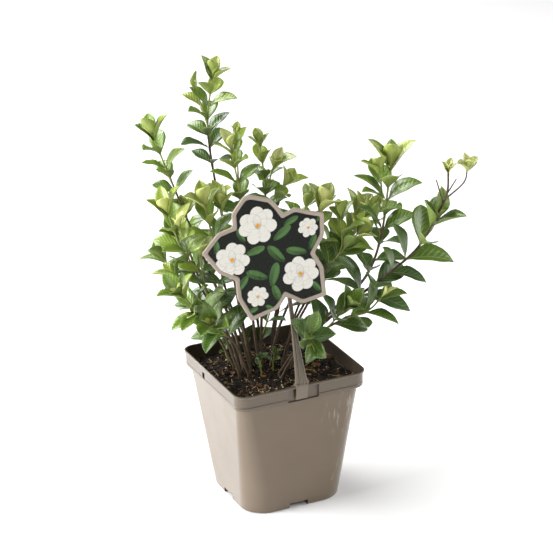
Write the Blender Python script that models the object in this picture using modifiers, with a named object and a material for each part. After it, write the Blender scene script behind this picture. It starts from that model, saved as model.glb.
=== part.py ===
"""A young gardenia in a square nursery pot, with its plant label.

Metres, +Z up. The origin is the middle of the pot's foot, on the ground, and
the label hangs on the pot's -Y side. Each stem and its leaves are one solid.
"""
import math
import random
from collections import namedtuple

import bmesh
import bpy
from mathutils import Matrix, Vector
from mathutils.bvhtree import BVHTree
from mathutils.geometry import intersect_point_line

MM = 0.001
GAP = 0.3 * MM

# The pot: half widths are measured to its outside faces.
POT_HEIGHT = 170 * MM
RIM_HALF = 85 * MM
COLLAR_HALF = 83.8 * MM
NECK_HALF = 79.5 * MM
FOOT_HALF = 63.8 * MM
RIM_CORNER = 14.5 * MM
NECK_CORNER = 16 * MM
FOOT_CORNER = 31 * MM
COLLAR_HEIGHT = 19 * MM
LIP_HEIGHT = 2.8 * MM
LIP_WALL = 2.5 * MM
WALL = 1.6 * MM
FOOT_NOTCH = Vector((24, 15, 7)) * MM      # along the wall, inwards, upwards
DRAIN_SLOT = Vector((14, 4, 20)) * MM
CLIP_RECESS = Vector((40, 3.3, 17)) * MM
TAG_SLOT = Vector((12, 6.5, 8)) * MM
TAG_SLOT_PLACE = Vector((-84, 19, 158)) * MM

# The compost
SOIL_TOP = 153.5 * MM
SOIL_WAVE = 1.8 * MM
SOIL_CELLS = 9
STEM_DEPTH = 48 * MM

# The label: it leans to the left and is turned a little to the pot's corner.
LABEL_PLACE = Vector((-2.6, -85, 170)) * MM
LABEL_LEAN = math.radians(-6.5)
LABEL_YAW = math.radians(-8)
LABEL_THICK = 2.2 * MM
LABEL_BORDER = 5.2 * MM
LABEL_RECESS = 1.2 * MM
LABEL_CORNER = 2.4 * MM
PRINT_THICK = 0.6 * MM
CLIP_WIDTH = 15 * MM
CLIP_THICK = 2 * MM
# Corners of the plate, clockwise from the top lobe: across and up from the clip
LABEL_OUTLINE = (
    (-53, 233), (-37, 250), (-27, 250), (-5, 240), (2, 229),
    (7, 219), (21, 223), (37, 215), (54, 208), (51, 181),
    (37, 162), (45, 143), (44, 106), (14, 103),
    (-4, 117), (-15, 104), (-49, 97), (-61, 129),
    (-60, 152), (-78, 165), (-94, 194), (-72, 214), (-54, 217),
)
# The stake: height above the clip and width
STAKE_WIDTHS = ((1.4, 17), (12, 13), (50, 8), (85, 5), (115, 4.4))
STAKE_DEPTH = 3.4 * MM
STAKE_WALL = 1.2 * MM
# The clip's band, from the outer tongue over the rim to the inner tongue: y, z
CLIP_ROUTE = ((-83.2, 152), (-86.6, 164.5), (-86.6, 170), (-85.4, 171.9),
              (-79, 171.9), (-77.5, 170.4), (-77.5, 160))

# Leaves
BLADE_THICK = 0.9 * MM
BLADE_STATIONS = (0.38, 0.73)
BLADE_SHAPE = 0.54                          # width over length
LEAF_MARGIN = 0.5 * MM
LIGHT = Vector((-0.25, -0.62, 0.74))        # the side that the leaves turn their faces to

# A shoot: points from foot to tip in millimetres, thickness at each end, the
# share of its length without leaves, the distance between leaf pairs, the
# length of its lowest and of its highest leaves, and the way its first pair
# faces in degrees.
Shoot = namedtuple("Shoot", "points thick thin bare gap low high turn")

# Each stem is a cane from the compost, with the shoots that branch from it.
STEMS = {
    "stem_left_tall": [
        Shoot([(-30, 22, 158), (-40, 26, 210), (-68, 38, 295), (-97, 60, 392), (-113, 72, 447)],
              5, 2, 0.76, 15, 32, 36, 20),
        Shoot([(-58, 34, 268), (-86, 50, 300), (-98, 52, 330)], 3, 1.8, 0.4, 18, 38, 32, 60),
    ],
    "stem_tallest": [
        Shoot([(-18, 24, 158), (-24, 30, 200), (-32, 46, 290), (-43, 64, 400), (-45, 70, 458),
               (-38, 67, 511)],
              5.5, 2, 0.68, 17, 40, 34, 0),
        Shoot([(-45, 70, 450), (-53, 82, 493)], 2.6, 1.8, 0.4, 14, 32, 32, 70),
        Shoot([(-36, 54, 340), (-46, 42, 372)], 2.6, 1.8, 0.2, 14, 34, 30, 30),
    ],
    "stem_middle_tall": [
        Shoot([(-12, 10, 158), (-18, 12, 200), (-24, 16, 300), (-29, 19, 379), (-35, 27, 434)],
              4.5, 2, 0.55, 19, 44, 32, 60),
        Shoot([(-30, 20, 385), (-24, 36, 446)], 2.4, 1.8, 0.45, 15, 34, 32, 10),
    ],
    "stem_left_lime": [
        Shoot([(-26, 10, 158), (-36, 10, 200), (-56, 8, 270), (-70, 8, 335), (-78, 8, 380)],
              4, 2, 0.5, 20, 44, 36, 45),
        Shoot([(-64, 8, 305), (-54, 14, 350), (-56, 12, 372)], 2.4, 1.8, 0.4, 16, 36, 34, 0),
    ],
    "stem_centre": [
        Shoot([(-4, 24, 158), (-3, 26, 200), (6, 34, 285), (15, 44, 370), (15, 58, 424)],
              4.5, 2, 0.55, 18, 42, 24, 30),
        Shoot([(14, 42, 362), (20, 30, 402)], 2.4, 1.8, 0.3, 18, 36, 36, 0),
        Shoot([(12, 40, 345), (38, 36, 376)], 2.4, 1.8, 0.3, 15, 34, 32, 50),
        Shoot([(-3, 26, 190), (4, 22, 212), (10, 20, 238)], 2.4, 1.8, 0.2, 13, 30, 30, 20),
    ],
    "stem_right_back": [
        Shoot([(10, 24, 158), (16, 30, 205), (48, 44, 280), (72, 50, 340)],
              4.2, 2, 0.5, 17, 44, 34, 75),
    ],
    "stem_right_middle": [
        Shoot([(2, 12, 158), (14, 14, 200), (52, 14, 280), (72, 11, 346)],
              4.2, 2, 0.35, 20, 50, 38, 15),
    ],
    "stem_right_near": [
        Shoot([(14, 6, 158), (28, 2, 200), (70, -6, 272), (88, -10, 300), (91, -4, 338)],
              4.2, 2, 0.5, 20, 50, 36, 50),
        Shoot([(78, -8, 283), (106, -16, 316)], 2.4, 1.8, 0.3, 16, 48, 40, 0),
    ],
    "stem_right_far_back": [
        Shoot([(24, 18, 158), (40, 20, 205), (94, 26, 275), (130, 30, 326)],
              4.2, 2, 0.5, 20, 50, 38, 0),
        Shoot([(106, 27, 292), (132, 6, 330)], 2.4, 1.8, 0.3, 16, 44, 36, 40),
    ],
    "stem_right_tall": [
        Shoot([(22, -4, 158), (34, -12, 192), (68, -24, 228), (108, -34, 268), (130, -33, 318),
               (143, -32, 399)],
              5, 2.2, 0.5, 17, 44, 46, 30),
        Shoot([(130, -33, 316), (128, -6, 338)], 2.4, 1.8, 0.3, 14, 40, 36, 80),
        Shoot([(134, -33, 340), (127, -36, 399)], 2.4, 1.8, 0.4, 15, 38, 36, 50),
    ],
    "stem_far_right": [
        Shoot([(12, -10, 158), (24, -22, 190), (58, -40, 228), (92, -55, 257), (127, -76, 291),
               (151, -88, 318), (165, -98, 350)], 5, 2.6, 0.5, 24, 58, 46, 60),
        Shoot([(165, -98, 350), (177, -107, 384), (178, -109, 416)], 3.4, 2.4, 0.8, 14, 18, 19, 0),
        Shoot([(175, -105, 376), (190, -124, 402), (191, -130, 422)], 2.4, 1.8, 0.75, 14, 20, 26, 60),
        Shoot([(174, -104, 374), (166, -102, 402)], 2, 1.6, 1, 14, 20, 20, 0),
        Shoot([(177, -107, 384), (188, -110, 402)], 2, 1.6, 1, 14, 20, 20, 0),
    ],
    "stem_right_low": [
        Shoot([(0, -16, 158), (22, -34, 198), (62, -62, 232), (88, -80, 246), (102, -86, 262)],
              4, 2, 0.45, 20, 48, 44, 40),
        Shoot([(44, -51, 220), (62, -74, 252)], 2.4, 1.8, 0.3, 16, 42, 38, 0),
    ],
    "stem_front": [
        Shoot([(-4, -30, 158), (4, -64, 210), (6, -92, 236), (0, -106, 234)], 3.2, 2, 0.6, 14, 34, 36, 0),
    ],
    "stem_left_upper": [
        Shoot([(-38, 12, 158), (-54, 12, 212), (-84, 12, 272), (-106, 16, 325), (-120, 22, 373)],
              4.4, 2, 0.5, 19, 46, 38, 10),
        Shoot([(-96, 14, 300), (-108, 0, 338), (-115, 0, 362)], 2.4, 1.8, 0.35, 16, 38, 32, 50),
    ],
    "stem_left_back": [
        Shoot([(-26, 36, 158), (-40, 46, 210), (-68, 60, 268), (-80, 68, 325), (-82, 62, 353)],
              4.2, 2, 0.45, 18, 40, 32, 55),
    ],
    "stem_left_low": [
        Shoot([(-34, -2, 158), (-52, -8, 202), (-82, -14, 240), (-108, -16, 266), (-122, -18, 284)],
              4, 2, 0.4, 21, 46, 38, 35),
        Shoot([(-66, -12, 218), (-90, -32, 246)], 2.4, 1.8, 0.3, 17, 42, 40, 0),
        Shoot([(-88, -16, 246), (-112, -32, 264)], 2.4, 1.8, 0.3, 18, 42, 40, 60),
    ],
    "stem_left_middle": [
        Shoot([(-44, 2, 158), (-62, 2, 215), (-84, 0, 275), (-92, -4, 324)],
              4, 2, 0.45, 17, 40, 36, 80),
        Shoot([(-72, 2, 240), (-100, 14, 275), (-112, 26, 292)], 2.6, 1.8, 0.3, 16, 38, 30, 20),
    ],
    "stem_back_left": [
        Shoot([(-12, 38, 158), (-18, 54, 196), (-34, 80, 232), (-46, 98, 274)],
              4.2, 2, 0.1, 23, 44, 38, 25),
    ],
    "stem_back_middle": [
        Shoot([(2, 38, 158), (6, 56, 196), (14, 82, 236), (20, 102, 284)],
              4.2, 2, 0.1, 23, 44, 38, 65),
    ],
    "stem_back_right": [
        Shoot([(16, 36, 158), (30, 52, 200), (58, 76, 244), (84, 94, 290)],
              4.2, 2, 0.12, 24, 44, 38, 5),
    ],
    "stem_back_low": [
        Shoot([(30, 30, 158), (54, 46, 205), (92, 66, 242), (118, 78, 270)],
              4, 2, 0.4, 26, 44, 34, 50),
    ],
    "stem_left_far_back": [
        Shoot([(-40, 28, 158), (-60, 50, 210), (-84, 80, 255), (-98, 96, 284)],
              4, 2, 0.4, 20, 40, 32, 15),
    ],
    "sprout_left": [
        Shoot([(-40, 44, 158), (-44, 43, 172), (-46, 40, 184)], 2, 1.6, 0.3, 9, 15, 14, 0),
    ],
    "sprout_middle": [
        Shoot([(-18, -4, 158), (-20, -6, 168), (-19, -8, 178)], 2, 1.6, 0.3, 9, 14, 13, 40),
    ],
    "sprout_right": [
        Shoot([(-2, -4, 158), (-4, -8, 170), (-2, -10, 182)], 2, 1.6, 0.3, 9, 14, 13, 80),
    ],
}
STEM_STEP = 44 * MM                         # length of a straight piece of stem


def clear_scene():
    for item in list(bpy.data.objects):
        bpy.data.objects.remove(item)


def add_collection(name):
    group = bpy.data.collections.new(name)
    bpy.context.scene.collection.children.link(group)
    return group


def add_material(name, colour, roughness, metallic=0.0):
    material = bpy.data.materials.new(name)
    material.use_nodes = True
    shader = material.node_tree.nodes["Principled BSDF"]
    shader.inputs["Base Color"].default_value = (*colour, 1.0)
    shader.inputs["Roughness"].default_value = roughness
    shader.inputs["Metallic"].default_value = metallic
    return material


def add_object(name, mesh, group, material=None):
    """Put a finished bmesh into a new object."""
    data = bpy.data.meshes.new(name)
    mesh.to_mesh(data)
    mesh.free()
    if material:
        data.materials.append(material)
    item = bpy.data.objects.new(name, data)
    group.objects.link(item)
    return item


def hide_tool(item):
    """Mark a cutter, which isn't part of the model."""
    item.hide_render = True
    item.display_type = "WIRE"


def skin(mesh, rings):
    """Close a skin through rings of points; a ring of one point is a pointed end.

    The rings run anticlockwise seen from the last one. The diagonals alternate
    round a ring, so the two faces of a thin blade are split alike.
    """
    loops = [[mesh.verts.new(point) for point in ring] for ring in rings]
    for lower, upper in zip(loops, loops[1:]):
        count = max(len(lower), len(upper))
        for here in range(count):
            after = (here + 1) % count
            if len(lower) == 1:
                mesh.faces.new((lower[0], upper[after], upper[here]))
            elif len(upper) == 1:
                mesh.faces.new((lower[here], lower[after], upper[0]))
            elif here % 2:
                mesh.faces.new((lower[here], lower[after], upper[after]))
                mesh.faces.new((lower[here], upper[after], upper[here]))
            else:
                mesh.faces.new((lower[here], lower[after], upper[here]))
                mesh.faces.new((lower[after], upper[after], upper[here]))
    if len(loops[0]) > 1:
        mesh.faces.new(reversed(loops[0]))
    if len(loops[-1]) > 1:
        mesh.faces.new(loops[-1])


def add_boolean(item, operation, cutter=None, group=None):
    """A live Boolean with one object or with a whole collection."""
    change = item.modifiers.new(operation.lower(), "BOOLEAN")
    change.operation = operation
    if group:
        change.operand_type = "COLLECTION"
        change.collection = group
    else:
        change.object = cutter
    return change


def apply_modifiers(item):
    """Replace an object's mesh with what its modifiers make of it."""
    view = bpy.context.evaluated_depsgraph_get()
    result = bpy.data.meshes.new_from_object(item.evaluated_get(view))
    item.modifiers.clear()
    item.data = result


def rounded_square(half, corner, height, steps=4):
    """A square ring with round corners, anticlockwise from above."""
    ring = []
    for quarter in range(4):
        middle = Vector(((half - corner) * (1 if quarter in (0, 3) else -1),
                         (half - corner) * (1 if quarter in (0, 1) else -1), height))
        for step in range(steps + 1):
            angle = math.pi / 2 * (quarter + step / steps)
            ring.append(middle + Vector((math.cos(angle), math.sin(angle), 0)) * corner)
    return ring


def wall_ring(height, inset):
    """The pot's tapered wall at a height, moved inwards."""
    share = height / (POT_HEIGHT - COLLAR_HEIGHT)
    half = FOOT_HALF + (NECK_HALF - FOOT_HALF) * share - inset
    corner = FOOT_CORNER + (NECK_CORNER - FOOT_CORNER) * share - inset
    return rounded_square(half, corner, height)


def cavity_rings(inset, top):
    """The inside of the pot, or what fills it, up to a height."""
    collar = POT_HEIGHT - COLLAR_HEIGHT
    lip_half = RIM_HALF - LIP_WALL - inset
    return [
        wall_ring(2.2 * MM + inset, WALL + 2 * MM + inset),
        wall_ring(4.6 * MM + inset, WALL + inset),
        wall_ring(collar - 3 * MM, WALL + inset),
        rounded_square(COLLAR_HALF - WALL - inset, RIM_CORNER - WALL - inset, collar + 0.6 * MM),
        rounded_square(lip_half, RIM_CORNER - LIP_WALL - inset, top),
    ]


def add_box(name, group, centre, size):
    mesh = bmesh.new()
    bmesh.ops.create_cube(mesh, size=1.0)
    bmesh.ops.scale(mesh, vec=size, verts=mesh.verts)
    bmesh.ops.translate(mesh, vec=centre, verts=mesh.verts)
    item = add_object(name, mesh, group)
    hide_tool(item)
    return item


def add_pockets(group, grow):
    """Boxes for the four notches at the foot and for the clip's recess.

    They reach past the outside of the wall, and grow says how much larger
    they are on the sides that face into the pot.
    """
    reach = 20 * MM
    for side in range(4):
        size = Vector((FOOT_NOTCH.x + 2 * grow, FOOT_NOTCH.y + reach + grow, FOOT_NOTCH.z + reach + grow))
        centre = Vector((0, -FOOT_HALF + FOOT_NOTCH.y + grow - size.y / 2, FOOT_NOTCH.z + grow - size.z / 2))
        notch = add_box(f"notch_{side}", group, centre, size)
        notch.rotation_euler.z = side * math.pi / 2
    size = Vector((CLIP_RECESS.x + 2 * grow, CLIP_RECESS.y + reach + grow, CLIP_RECESS.z + 2 * grow))
    top = POT_HEIGHT - LIP_HEIGHT + grow
    centre = Vector((0, -COLLAR_HALF + CLIP_RECESS.y + grow - size.y / 2, top - size.z / 2))
    add_box("clip_recess", group, centre, size)


def build_pot(parts, cutters):
    """The shell: outside less cavity, with its notches, drains and slot."""
    collar = POT_HEIGHT - COLLAR_HEIGHT
    mesh = bmesh.new()
    skin(mesh, [
        wall_ring(0, 2.2 * MM),
        wall_ring(0.7 * MM, 0.7 * MM),
        wall_ring(2.4 * MM, 0),
        wall_ring(collar - 2.2 * MM, 0),
        rounded_square(COLLAR_HALF - 0.4 * MM, RIM_CORNER, collar),
        rounded_square(COLLAR_HALF, RIM_CORNER, POT_HEIGHT - LIP_HEIGHT - 0.8 * MM),
        rounded_square(RIM_HALF, RIM_CORNER, POT_HEIGHT - LIP_HEIGHT),
        rounded_square(RIM_HALF, RIM_CORNER, POT_HEIGHT - 0.7 * MM),
        rounded_square(RIM_HALF - 0.6 * MM, RIM_CORNER - 0.6 * MM, POT_HEIGHT),
    ])
    pot = add_object("pot", mesh, parts, add_material("pot_plastic", (0.22, 0.175, 0.135), 0.4))

    bumps = add_collection("cutters_pot_bumps")
    add_pockets(bumps, WALL)
    mesh = bmesh.new()
    skin(mesh, cavity_rings(0, POT_HEIGHT + 5 * MM))
    cavity = add_object("cavity", mesh, cutters)
    add_boolean(cavity, "DIFFERENCE", group=bumps)
    hide_tool(cavity)

    pockets = add_collection("cutters_pot_pockets")
    add_pockets(pockets, 0)
    for side in range(4):
        place = Vector((0, -FOOT_HALF + FOOT_NOTCH.y * 0.6, FOOT_NOTCH.z))
        drain = add_box(f"drain_{side}", pockets, place, DRAIN_SLOT)
        drain.rotation_euler.z = side * math.pi / 2
    add_box("tag_slot", pockets, TAG_SLOT_PLACE, TAG_SLOT)
    add_boolean(pot, "DIFFERENCE", cavity)
    add_boolean(pot, "DIFFERENCE", group=pockets)
    return pot


def ground(x, y):
    """Height of the compost: two waves of clods on a level bed."""
    clods = math.sin(62 * x + 0.8) * math.cos(55 * y)
    crumbs = math.sin(171 * x + 2.0) * math.sin(149 * y + 0.6)
    return SOIL_TOP + SOIL_WAVE * clods + SOIL_WAVE * 0.6 * crumbs


def build_soil(parts, cutters, holes):
    """The compost fills the pot up to a rough top, less a hole for each stem."""
    mesh = bmesh.new()
    skin(mesh, cavity_rings(GAP, POT_HEIGHT))
    soil = add_object("soil", mesh, parts, add_material("compost", (0.03, 0.02, 0.014), 0.95))

    mesh = bmesh.new()
    bmesh.ops.create_grid(mesh, x_segments=SOIL_CELLS, y_segments=SOIL_CELLS, size=RIM_HALF)
    for corner in mesh.verts:
        corner.co.z = ground(corner.co.x, corner.co.y)
    sides = bmesh.ops.extrude_face_region(mesh, geom=mesh.faces[:])["geom"]
    for corner in (piece for piece in sides if isinstance(piece, bmesh.types.BMVert)):
        corner.co.z = POT_HEIGHT + 10 * MM
    bmesh.ops.recalc_face_normals(mesh, faces=mesh.faces)
    air = add_object("air", mesh, cutters)
    hide_tool(air)

    bumps = add_collection("cutters_soil_bumps")
    add_pockets(bumps, WALL + GAP)
    add_boolean(soil, "DIFFERENCE", air)
    add_boolean(soil, "DIFFERENCE", group=bumps)
    add_boolean(soil, "DIFFERENCE", group=holes)
    return soil


def label_turn():
    """From the label's own plane to its place over the rim."""
    return (Matrix.Translation(LABEL_PLACE) @ Matrix.Rotation(LABEL_YAW, 4, "Z")
            @ Matrix.Rotation(LABEL_LEAN, 4, "Y"))


def label_face(mesh, depth, shrink=0.0):
    """The five-lobed outline as one face, drawn in by shrink, with its corners rounded."""
    corners = [mesh.verts.new((across * MM, depth, up * MM)) for across, up in LABEL_OUTLINE]
    face = mesh.faces.new(reversed(corners))
    if shrink:
        mesh.normal_update()
        rim = bmesh.ops.inset_region(mesh, faces=[face], thickness=shrink, use_boundary=True,
                                     use_even_offset=True)["faces"]
        bmesh.ops.delete(mesh, geom=rim, context="FACES")
    bmesh.ops.bevel(mesh, geom=mesh.verts[:], offset=LABEL_CORNER, offset_type="OFFSET", segments=1,
                    profile=0.5, affect="VERTICES", material=-1, clamp_overlap=True)
    mesh.faces.ensure_lookup_table()
    return mesh.faces[0]


def label_slab(name, group, depth, thick, shrink=0.0, material=None):
    """A flat slab of the label's outline, in its place over the rim."""
    mesh = bmesh.new()
    back = label_face(mesh, depth, shrink)
    extrude_by(mesh, back, Vector((0, -thick, 0)))
    bmesh.ops.recalc_face_normals(mesh, faces=mesh.faces)
    bmesh.ops.transform(mesh, matrix=label_turn(), verts=mesh.verts)
    return add_object(name, mesh, group, material)


def extrude_by(mesh, face, shift):
    """Extrude one face and give back the face at the far end."""
    made = bmesh.ops.extrude_face_region(mesh, geom=[face])["geom"]
    far = next(piece for piece in made if isinstance(piece, bmesh.types.BMFace))
    bmesh.ops.translate(mesh, vec=shift, verts=far.verts[:])
    return far


def stake_rings():
    """A channel section that narrows upwards, open to the front."""
    rings = []
    front = -STAKE_DEPTH / 2
    back = STAKE_DEPTH / 2
    for height, width in STAKE_WIDTHS:
        half = width * MM / 2
        inner = half - STAKE_WALL
        section = ((-half, front), (-inner, front), (-inner, back - STAKE_WALL), (inner, back - STAKE_WALL),
                   (inner, front), (half, front), (half, back), (-half, back))
        rings.append([Vector((x, y, height * MM)) for x, y in section])
    return rings


def build_label(parts, cutters):
    """The moulded frame: clip, stake and plate in one; then the printed sheet."""
    plastic = add_material("label_plastic", (0.36, 0.30, 0.24), 0.45)
    paper = add_material("label_print", (0.02, 0.03, 0.015), 0.35)
    floor = -LABEL_THICK / 2 + LABEL_RECESS
    frame = label_slab("label_frame", parts, LABEL_THICK / 2, LABEL_THICK, material=plastic)
    recess = label_slab("label_recess", cutters, floor, 2 * LABEL_RECESS, LABEL_BORDER)
    hide_tool(recess)
    add_boolean(frame, "DIFFERENCE", recess)
    label_slab("label_print", parts, floor - GAP, PRINT_THICK, LABEL_BORDER + GAP, paper)

    joined = add_collection("cutters_label")
    mesh = bmesh.new()
    skin(mesh, stake_rings())
    bmesh.ops.recalc_face_normals(mesh, faces=mesh.faces)
    bmesh.ops.transform(mesh, matrix=label_turn(), verts=mesh.verts)
    stake = add_object("stake", mesh, joined)
    hide_tool(stake)

    mesh = bmesh.new()
    left = LABEL_PLACE.x - CLIP_WIDTH / 2
    line = [mesh.verts.new((left, y * MM, z * MM)) for y, z in CLIP_ROUTE]
    edges = [mesh.edges.new(pair) for pair in zip(line, line[1:])]
    band = bmesh.ops.extrude_edge_only(mesh, edges=edges)["geom"]
    moved = [piece for piece in band if isinstance(piece, bmesh.types.BMVert)]
    bmesh.ops.translate(mesh, vec=(CLIP_WIDTH, 0, 0), verts=moved)
    bmesh.ops.recalc_face_normals(mesh, faces=mesh.faces)
    clip = add_object("clip", mesh, joined)
    wall = clip.modifiers.new("wall", "SOLIDIFY")
    wall.thickness = CLIP_THICK
    wall.offset = 0
    wall.use_even_offset = True
    hide_tool(clip)
    add_boolean(frame, "UNION", group=joined)


def label_shield():
    """A plain slab and bar where the label stands, which leaves keep clear of."""
    mesh = bmesh.new()
    back = label_face(mesh, LABEL_THICK)
    extrude_by(mesh, back, Vector((0, -2 * LABEL_THICK, 0)))
    skin(mesh, stake_rings())
    bmesh.ops.transform(mesh, matrix=label_turn(), verts=mesh.verts)
    return mesh


class Route:
    """The straight pieces that follow a smooth line through a shoot's points."""

    def __init__(self, shoot):
        knots = [Vector(point) * MM for point in shoot.points]
        knots = [2 * knots[0] - knots[1]] + knots + [2 * knots[-1] - knots[-2]]
        self.stops = [knots[1]]
        for start in range(1, len(knots) - 2):
            pieces = max(1, round((knots[start + 1] - knots[start]).length / STEM_STEP))
            four = knots[start - 1:start + 3]
            self.stops += [self.between(four, piece / pieces) for piece in range(1, pieces + 1)]
        self.marks = [0.0]
        for before, after in zip(self.stops, self.stops[1:]):
            self.marks.append(self.marks[-1] + (after - before).length)
        self.length = self.marks[-1]
        self.radii = [(shoot.thick + (shoot.thin - shoot.thick) * mark / self.length) / 2 * MM
                      for mark in self.marks]

    @staticmethod
    def between(four, share):
        """A point between the second and third of four knots (Catmull-Rom)."""
        before, start, end, after = four
        return 0.5 * (2 * start + (end - before) * share
                      + (2 * before - 5 * start + 4 * end - after) * share ** 2
                      + (3 * start - before - 3 * end + after) * share ** 3)

    def at(self, distance):
        """The point at a distance from the foot, and the way the stem runs there."""
        for here in range(1, len(self.marks)):
            if self.marks[here] >= distance:
                break
        step = self.stops[here] - self.stops[here - 1]
        share = (distance - self.marks[here - 1]) / step.length
        return self.stops[here - 1] + step * share, step.normalized()

    def nearest(self, point):
        """The place on the line that is nearest to a point."""
        places = []
        for start, end in zip(self.stops, self.stops[1:]):
            place, share = intersect_point_line(point, start, end)
            places.append(start.lerp(end, min(max(share, 0.0), 1.0)))
        return min(places, key=lambda place: (place - point).length)


def plan_routes(shoots):
    """The routes of one stem; each side shoot starts on the stem before it."""
    routes = [Route(shoots[0])]
    for shoot in shoots[1:]:
        wanted = Vector(shoot.points[0]) * MM
        places = [route.nearest(wanted) for route in routes]
        start = min(places, key=lambda place: (place - wanted).length)
        routes.append(Route(shoot._replace(points=[start / MM] + shoot.points[1:])))
    return routes


Leaf = namedtuple("Leaf", "root along across face length width arch fold age")


def outline(share):
    """Half width of a blade along its length: a stalk, then an oval, widest past its middle."""
    if share <= 0.08:
        return 0.07
    blade = (share - 0.08) / 0.92
    return 0.07 * (1 - blade) + 3.7 * blade ** 1.15 * (1 - blade) ** 0.8


def blade_point(leaf, share, side, lift=0.0):
    """A place on a blade: share from root to tip, side from -1 to 1."""
    turn = leaf.arch * share
    half = leaf.width / 2 * outline(share)
    forward = leaf.length * math.sin(turn) / leaf.arch
    sag = leaf.length * (1 - math.cos(turn)) / leaf.arch
    upright = leaf.along * math.sin(turn) + leaf.face * math.cos(turn)
    rise = abs(side) * half * math.sin(leaf.fold) + lift
    return (leaf.root + leaf.along * forward - leaf.face * sag
            + leaf.across * (side * half * math.cos(leaf.fold)) + upright * rise)


def blade_rings(leaf, margin=0.0):
    """Sections of the solid blade; a margin makes the room that it needs."""
    reach = 1 + 2 * margin / leaf.width
    rings = [[blade_point(leaf, 0, 0, -BLADE_THICK / 2)]]
    for share in BLADE_STATIONS:
        rings.append([
            blade_point(leaf, share, reach),
            blade_point(leaf, share, 0, margin),
            blade_point(leaf, share, -reach),
            blade_point(leaf, share, 0, -BLADE_THICK - margin),
        ])
    rings.append([blade_point(leaf, 1, 0, -BLADE_THICK / 2)])
    return rings


def make_leaf(root, heading, turn, opening, size, rng, age):
    """A leaf that opens from its stem, its upper face turned to the light."""
    sideways = heading.orthogonal().normalized()
    sideways.rotate(Matrix.Rotation(turn, 3, heading))
    along = heading * math.cos(opening) + sideways * math.sin(opening)
    along = (along + Vector((0, 0, 0.3 * age))).normalized()
    face = heading * math.sin(opening) - sideways * math.cos(opening)
    light = LIGHT * (0.15 + 0.75 * age)
    face = face + light - along * light.dot(along)
    face = (face - along * face.dot(along)).normalized()
    face.rotate(Matrix.Rotation(rng.uniform(-0.3, 0.3), 3, along))
    length = size * rng.uniform(0.85, 1.15)
    width = length * BLADE_SHAPE * rng.uniform(0.88, 1.12)
    arch = rng.uniform(0.2, 0.6) + 0.3 * age
    fold = rng.uniform(0.2, 0.35) + 0.2 * (1 - age)
    return Leaf(root, along, face.cross(along), face, length, width, arch, fold, age)


class Garden:
    """Everything that stands in the way of the next leaf."""

    def __init__(self):
        self.things = []

    def add(self, mesh, owner):
        low = Vector([min(corner.co[axis] for corner in mesh.verts) for axis in range(3)])
        high = Vector([max(corner.co[axis] for corner in mesh.verts) for axis in range(3)])
        self.things.append((low, high, BVHTree.FromBMesh(mesh), owner))

    def clear_of(self, leaf, owner):
        """Whether a leaf is free of the pot, the compost and all other things."""
        rings = blade_rings(leaf, LEAF_MARGIN)
        for point in (point for ring in rings[1:] for point in ring):
            inside = max(abs(point.x), abs(point.y)) < RIM_HALF - 5 * MM
            if point.z < (SOIL_TOP + 4 * MM if inside else POT_HEIGHT + 3 * MM):
                return False
        mesh = bmesh.new()
        skin(mesh, rings)
        low = Vector([min(corner.co[axis] for corner in mesh.verts) for axis in range(3)])
        high = Vector([max(corner.co[axis] for corner in mesh.verts) for axis in range(3)])
        tree = BVHTree.FromBMesh(mesh)
        mesh.free()
        for other_low, other_high, other_tree, other_owner in self.things:
            apart = any(low[axis] > other_high[axis] or high[axis] < other_low[axis] for axis in range(3))
            if other_owner != owner and not apart and tree.overlap(other_tree):
                return False
        return True


def blade_mesh(leaf):
    mesh = bmesh.new()
    skin(mesh, blade_rings(leaf))
    return mesh


def grow_leaves(name, shoots, routes, garden):
    """Whorls of two or three leaves from each shoot's tip down.

    A leaf that would cross another stem, its leaves or the label is turned
    and shortened, and is left off where it still finds no room.
    """
    rng = random.Random(name)
    leaves = []
    for shoot, route in zip(shoots, routes):
        leafy = route.length * (1 - shoot.bare)
        reach = 2.0 * MM
        turn = math.radians(shoot.turn)
        row = 0
        while reach < leafy:
            age = min(1.0, reach / (100 * MM))
            size = (shoot.high + (shoot.low - shoot.high) * age) * MM * (0.85 if row == 0 else 1)
            root, heading = route.at(route.length - reach)
            whorl = 3 if row and rng.random() < 0.15 else 2
            for number in range(whorl):
                opening = math.radians(14 + 11 * min(row, 2) + 24 * age) + rng.uniform(-0.12, 0.12)
                swing = turn + math.tau * number / whorl + rng.uniform(-0.25, 0.25)
                length = size
                for attempt in range(7):
                    leaf = make_leaf(root, heading, swing, opening, length, rng, age)
                    if garden.clear_of(leaf, name):
                        leaves.append(leaf)
                        garden.add(blade_mesh(leaf), f"{name} leaf {len(leaves)}")
                        break
                    swing += rng.uniform(-0.5, 0.5)
                    opening *= rng.uniform(0.8, 1.2)
                    length *= 0.95
            reach += shoot.gap * MM * (0.3 if row == 0 else 1) * rng.uniform(0.85, 1.15)
            turn += math.pi / whorl
            row += 1
    return leaves


def tube(name, group, stops, radii, roundness=1):
    """A tapered stem through its stops, as a mesh with closed ends."""
    curve = bpy.data.curves.new(name, "CURVE")
    curve.dimensions = "3D"
    curve.bevel_depth = max(radii)
    curve.bevel_resolution = roundness
    curve.use_fill_caps = True
    line = curve.splines.new("POLY")
    line.points.add(len(stops) - 1)
    for point, stop, radius in zip(line.points, stops, radii):
        point.co = (*stop, 1)
        point.radius = radius / max(radii)
    bent = bpy.data.objects.new(name, curve)
    group.objects.link(bent)
    view = bpy.context.evaluated_depsgraph_get()
    data = bpy.data.meshes.new_from_object(bent.evaluated_get(view))
    bpy.data.objects.remove(bent)
    mesh = bmesh.new()
    mesh.from_mesh(data)
    bmesh.ops.remove_doubles(mesh, verts=mesh.verts, dist=0.01 * MM)
    bmesh.ops.recalc_face_normals(mesh, faces=mesh.faces)
    return mesh


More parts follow.
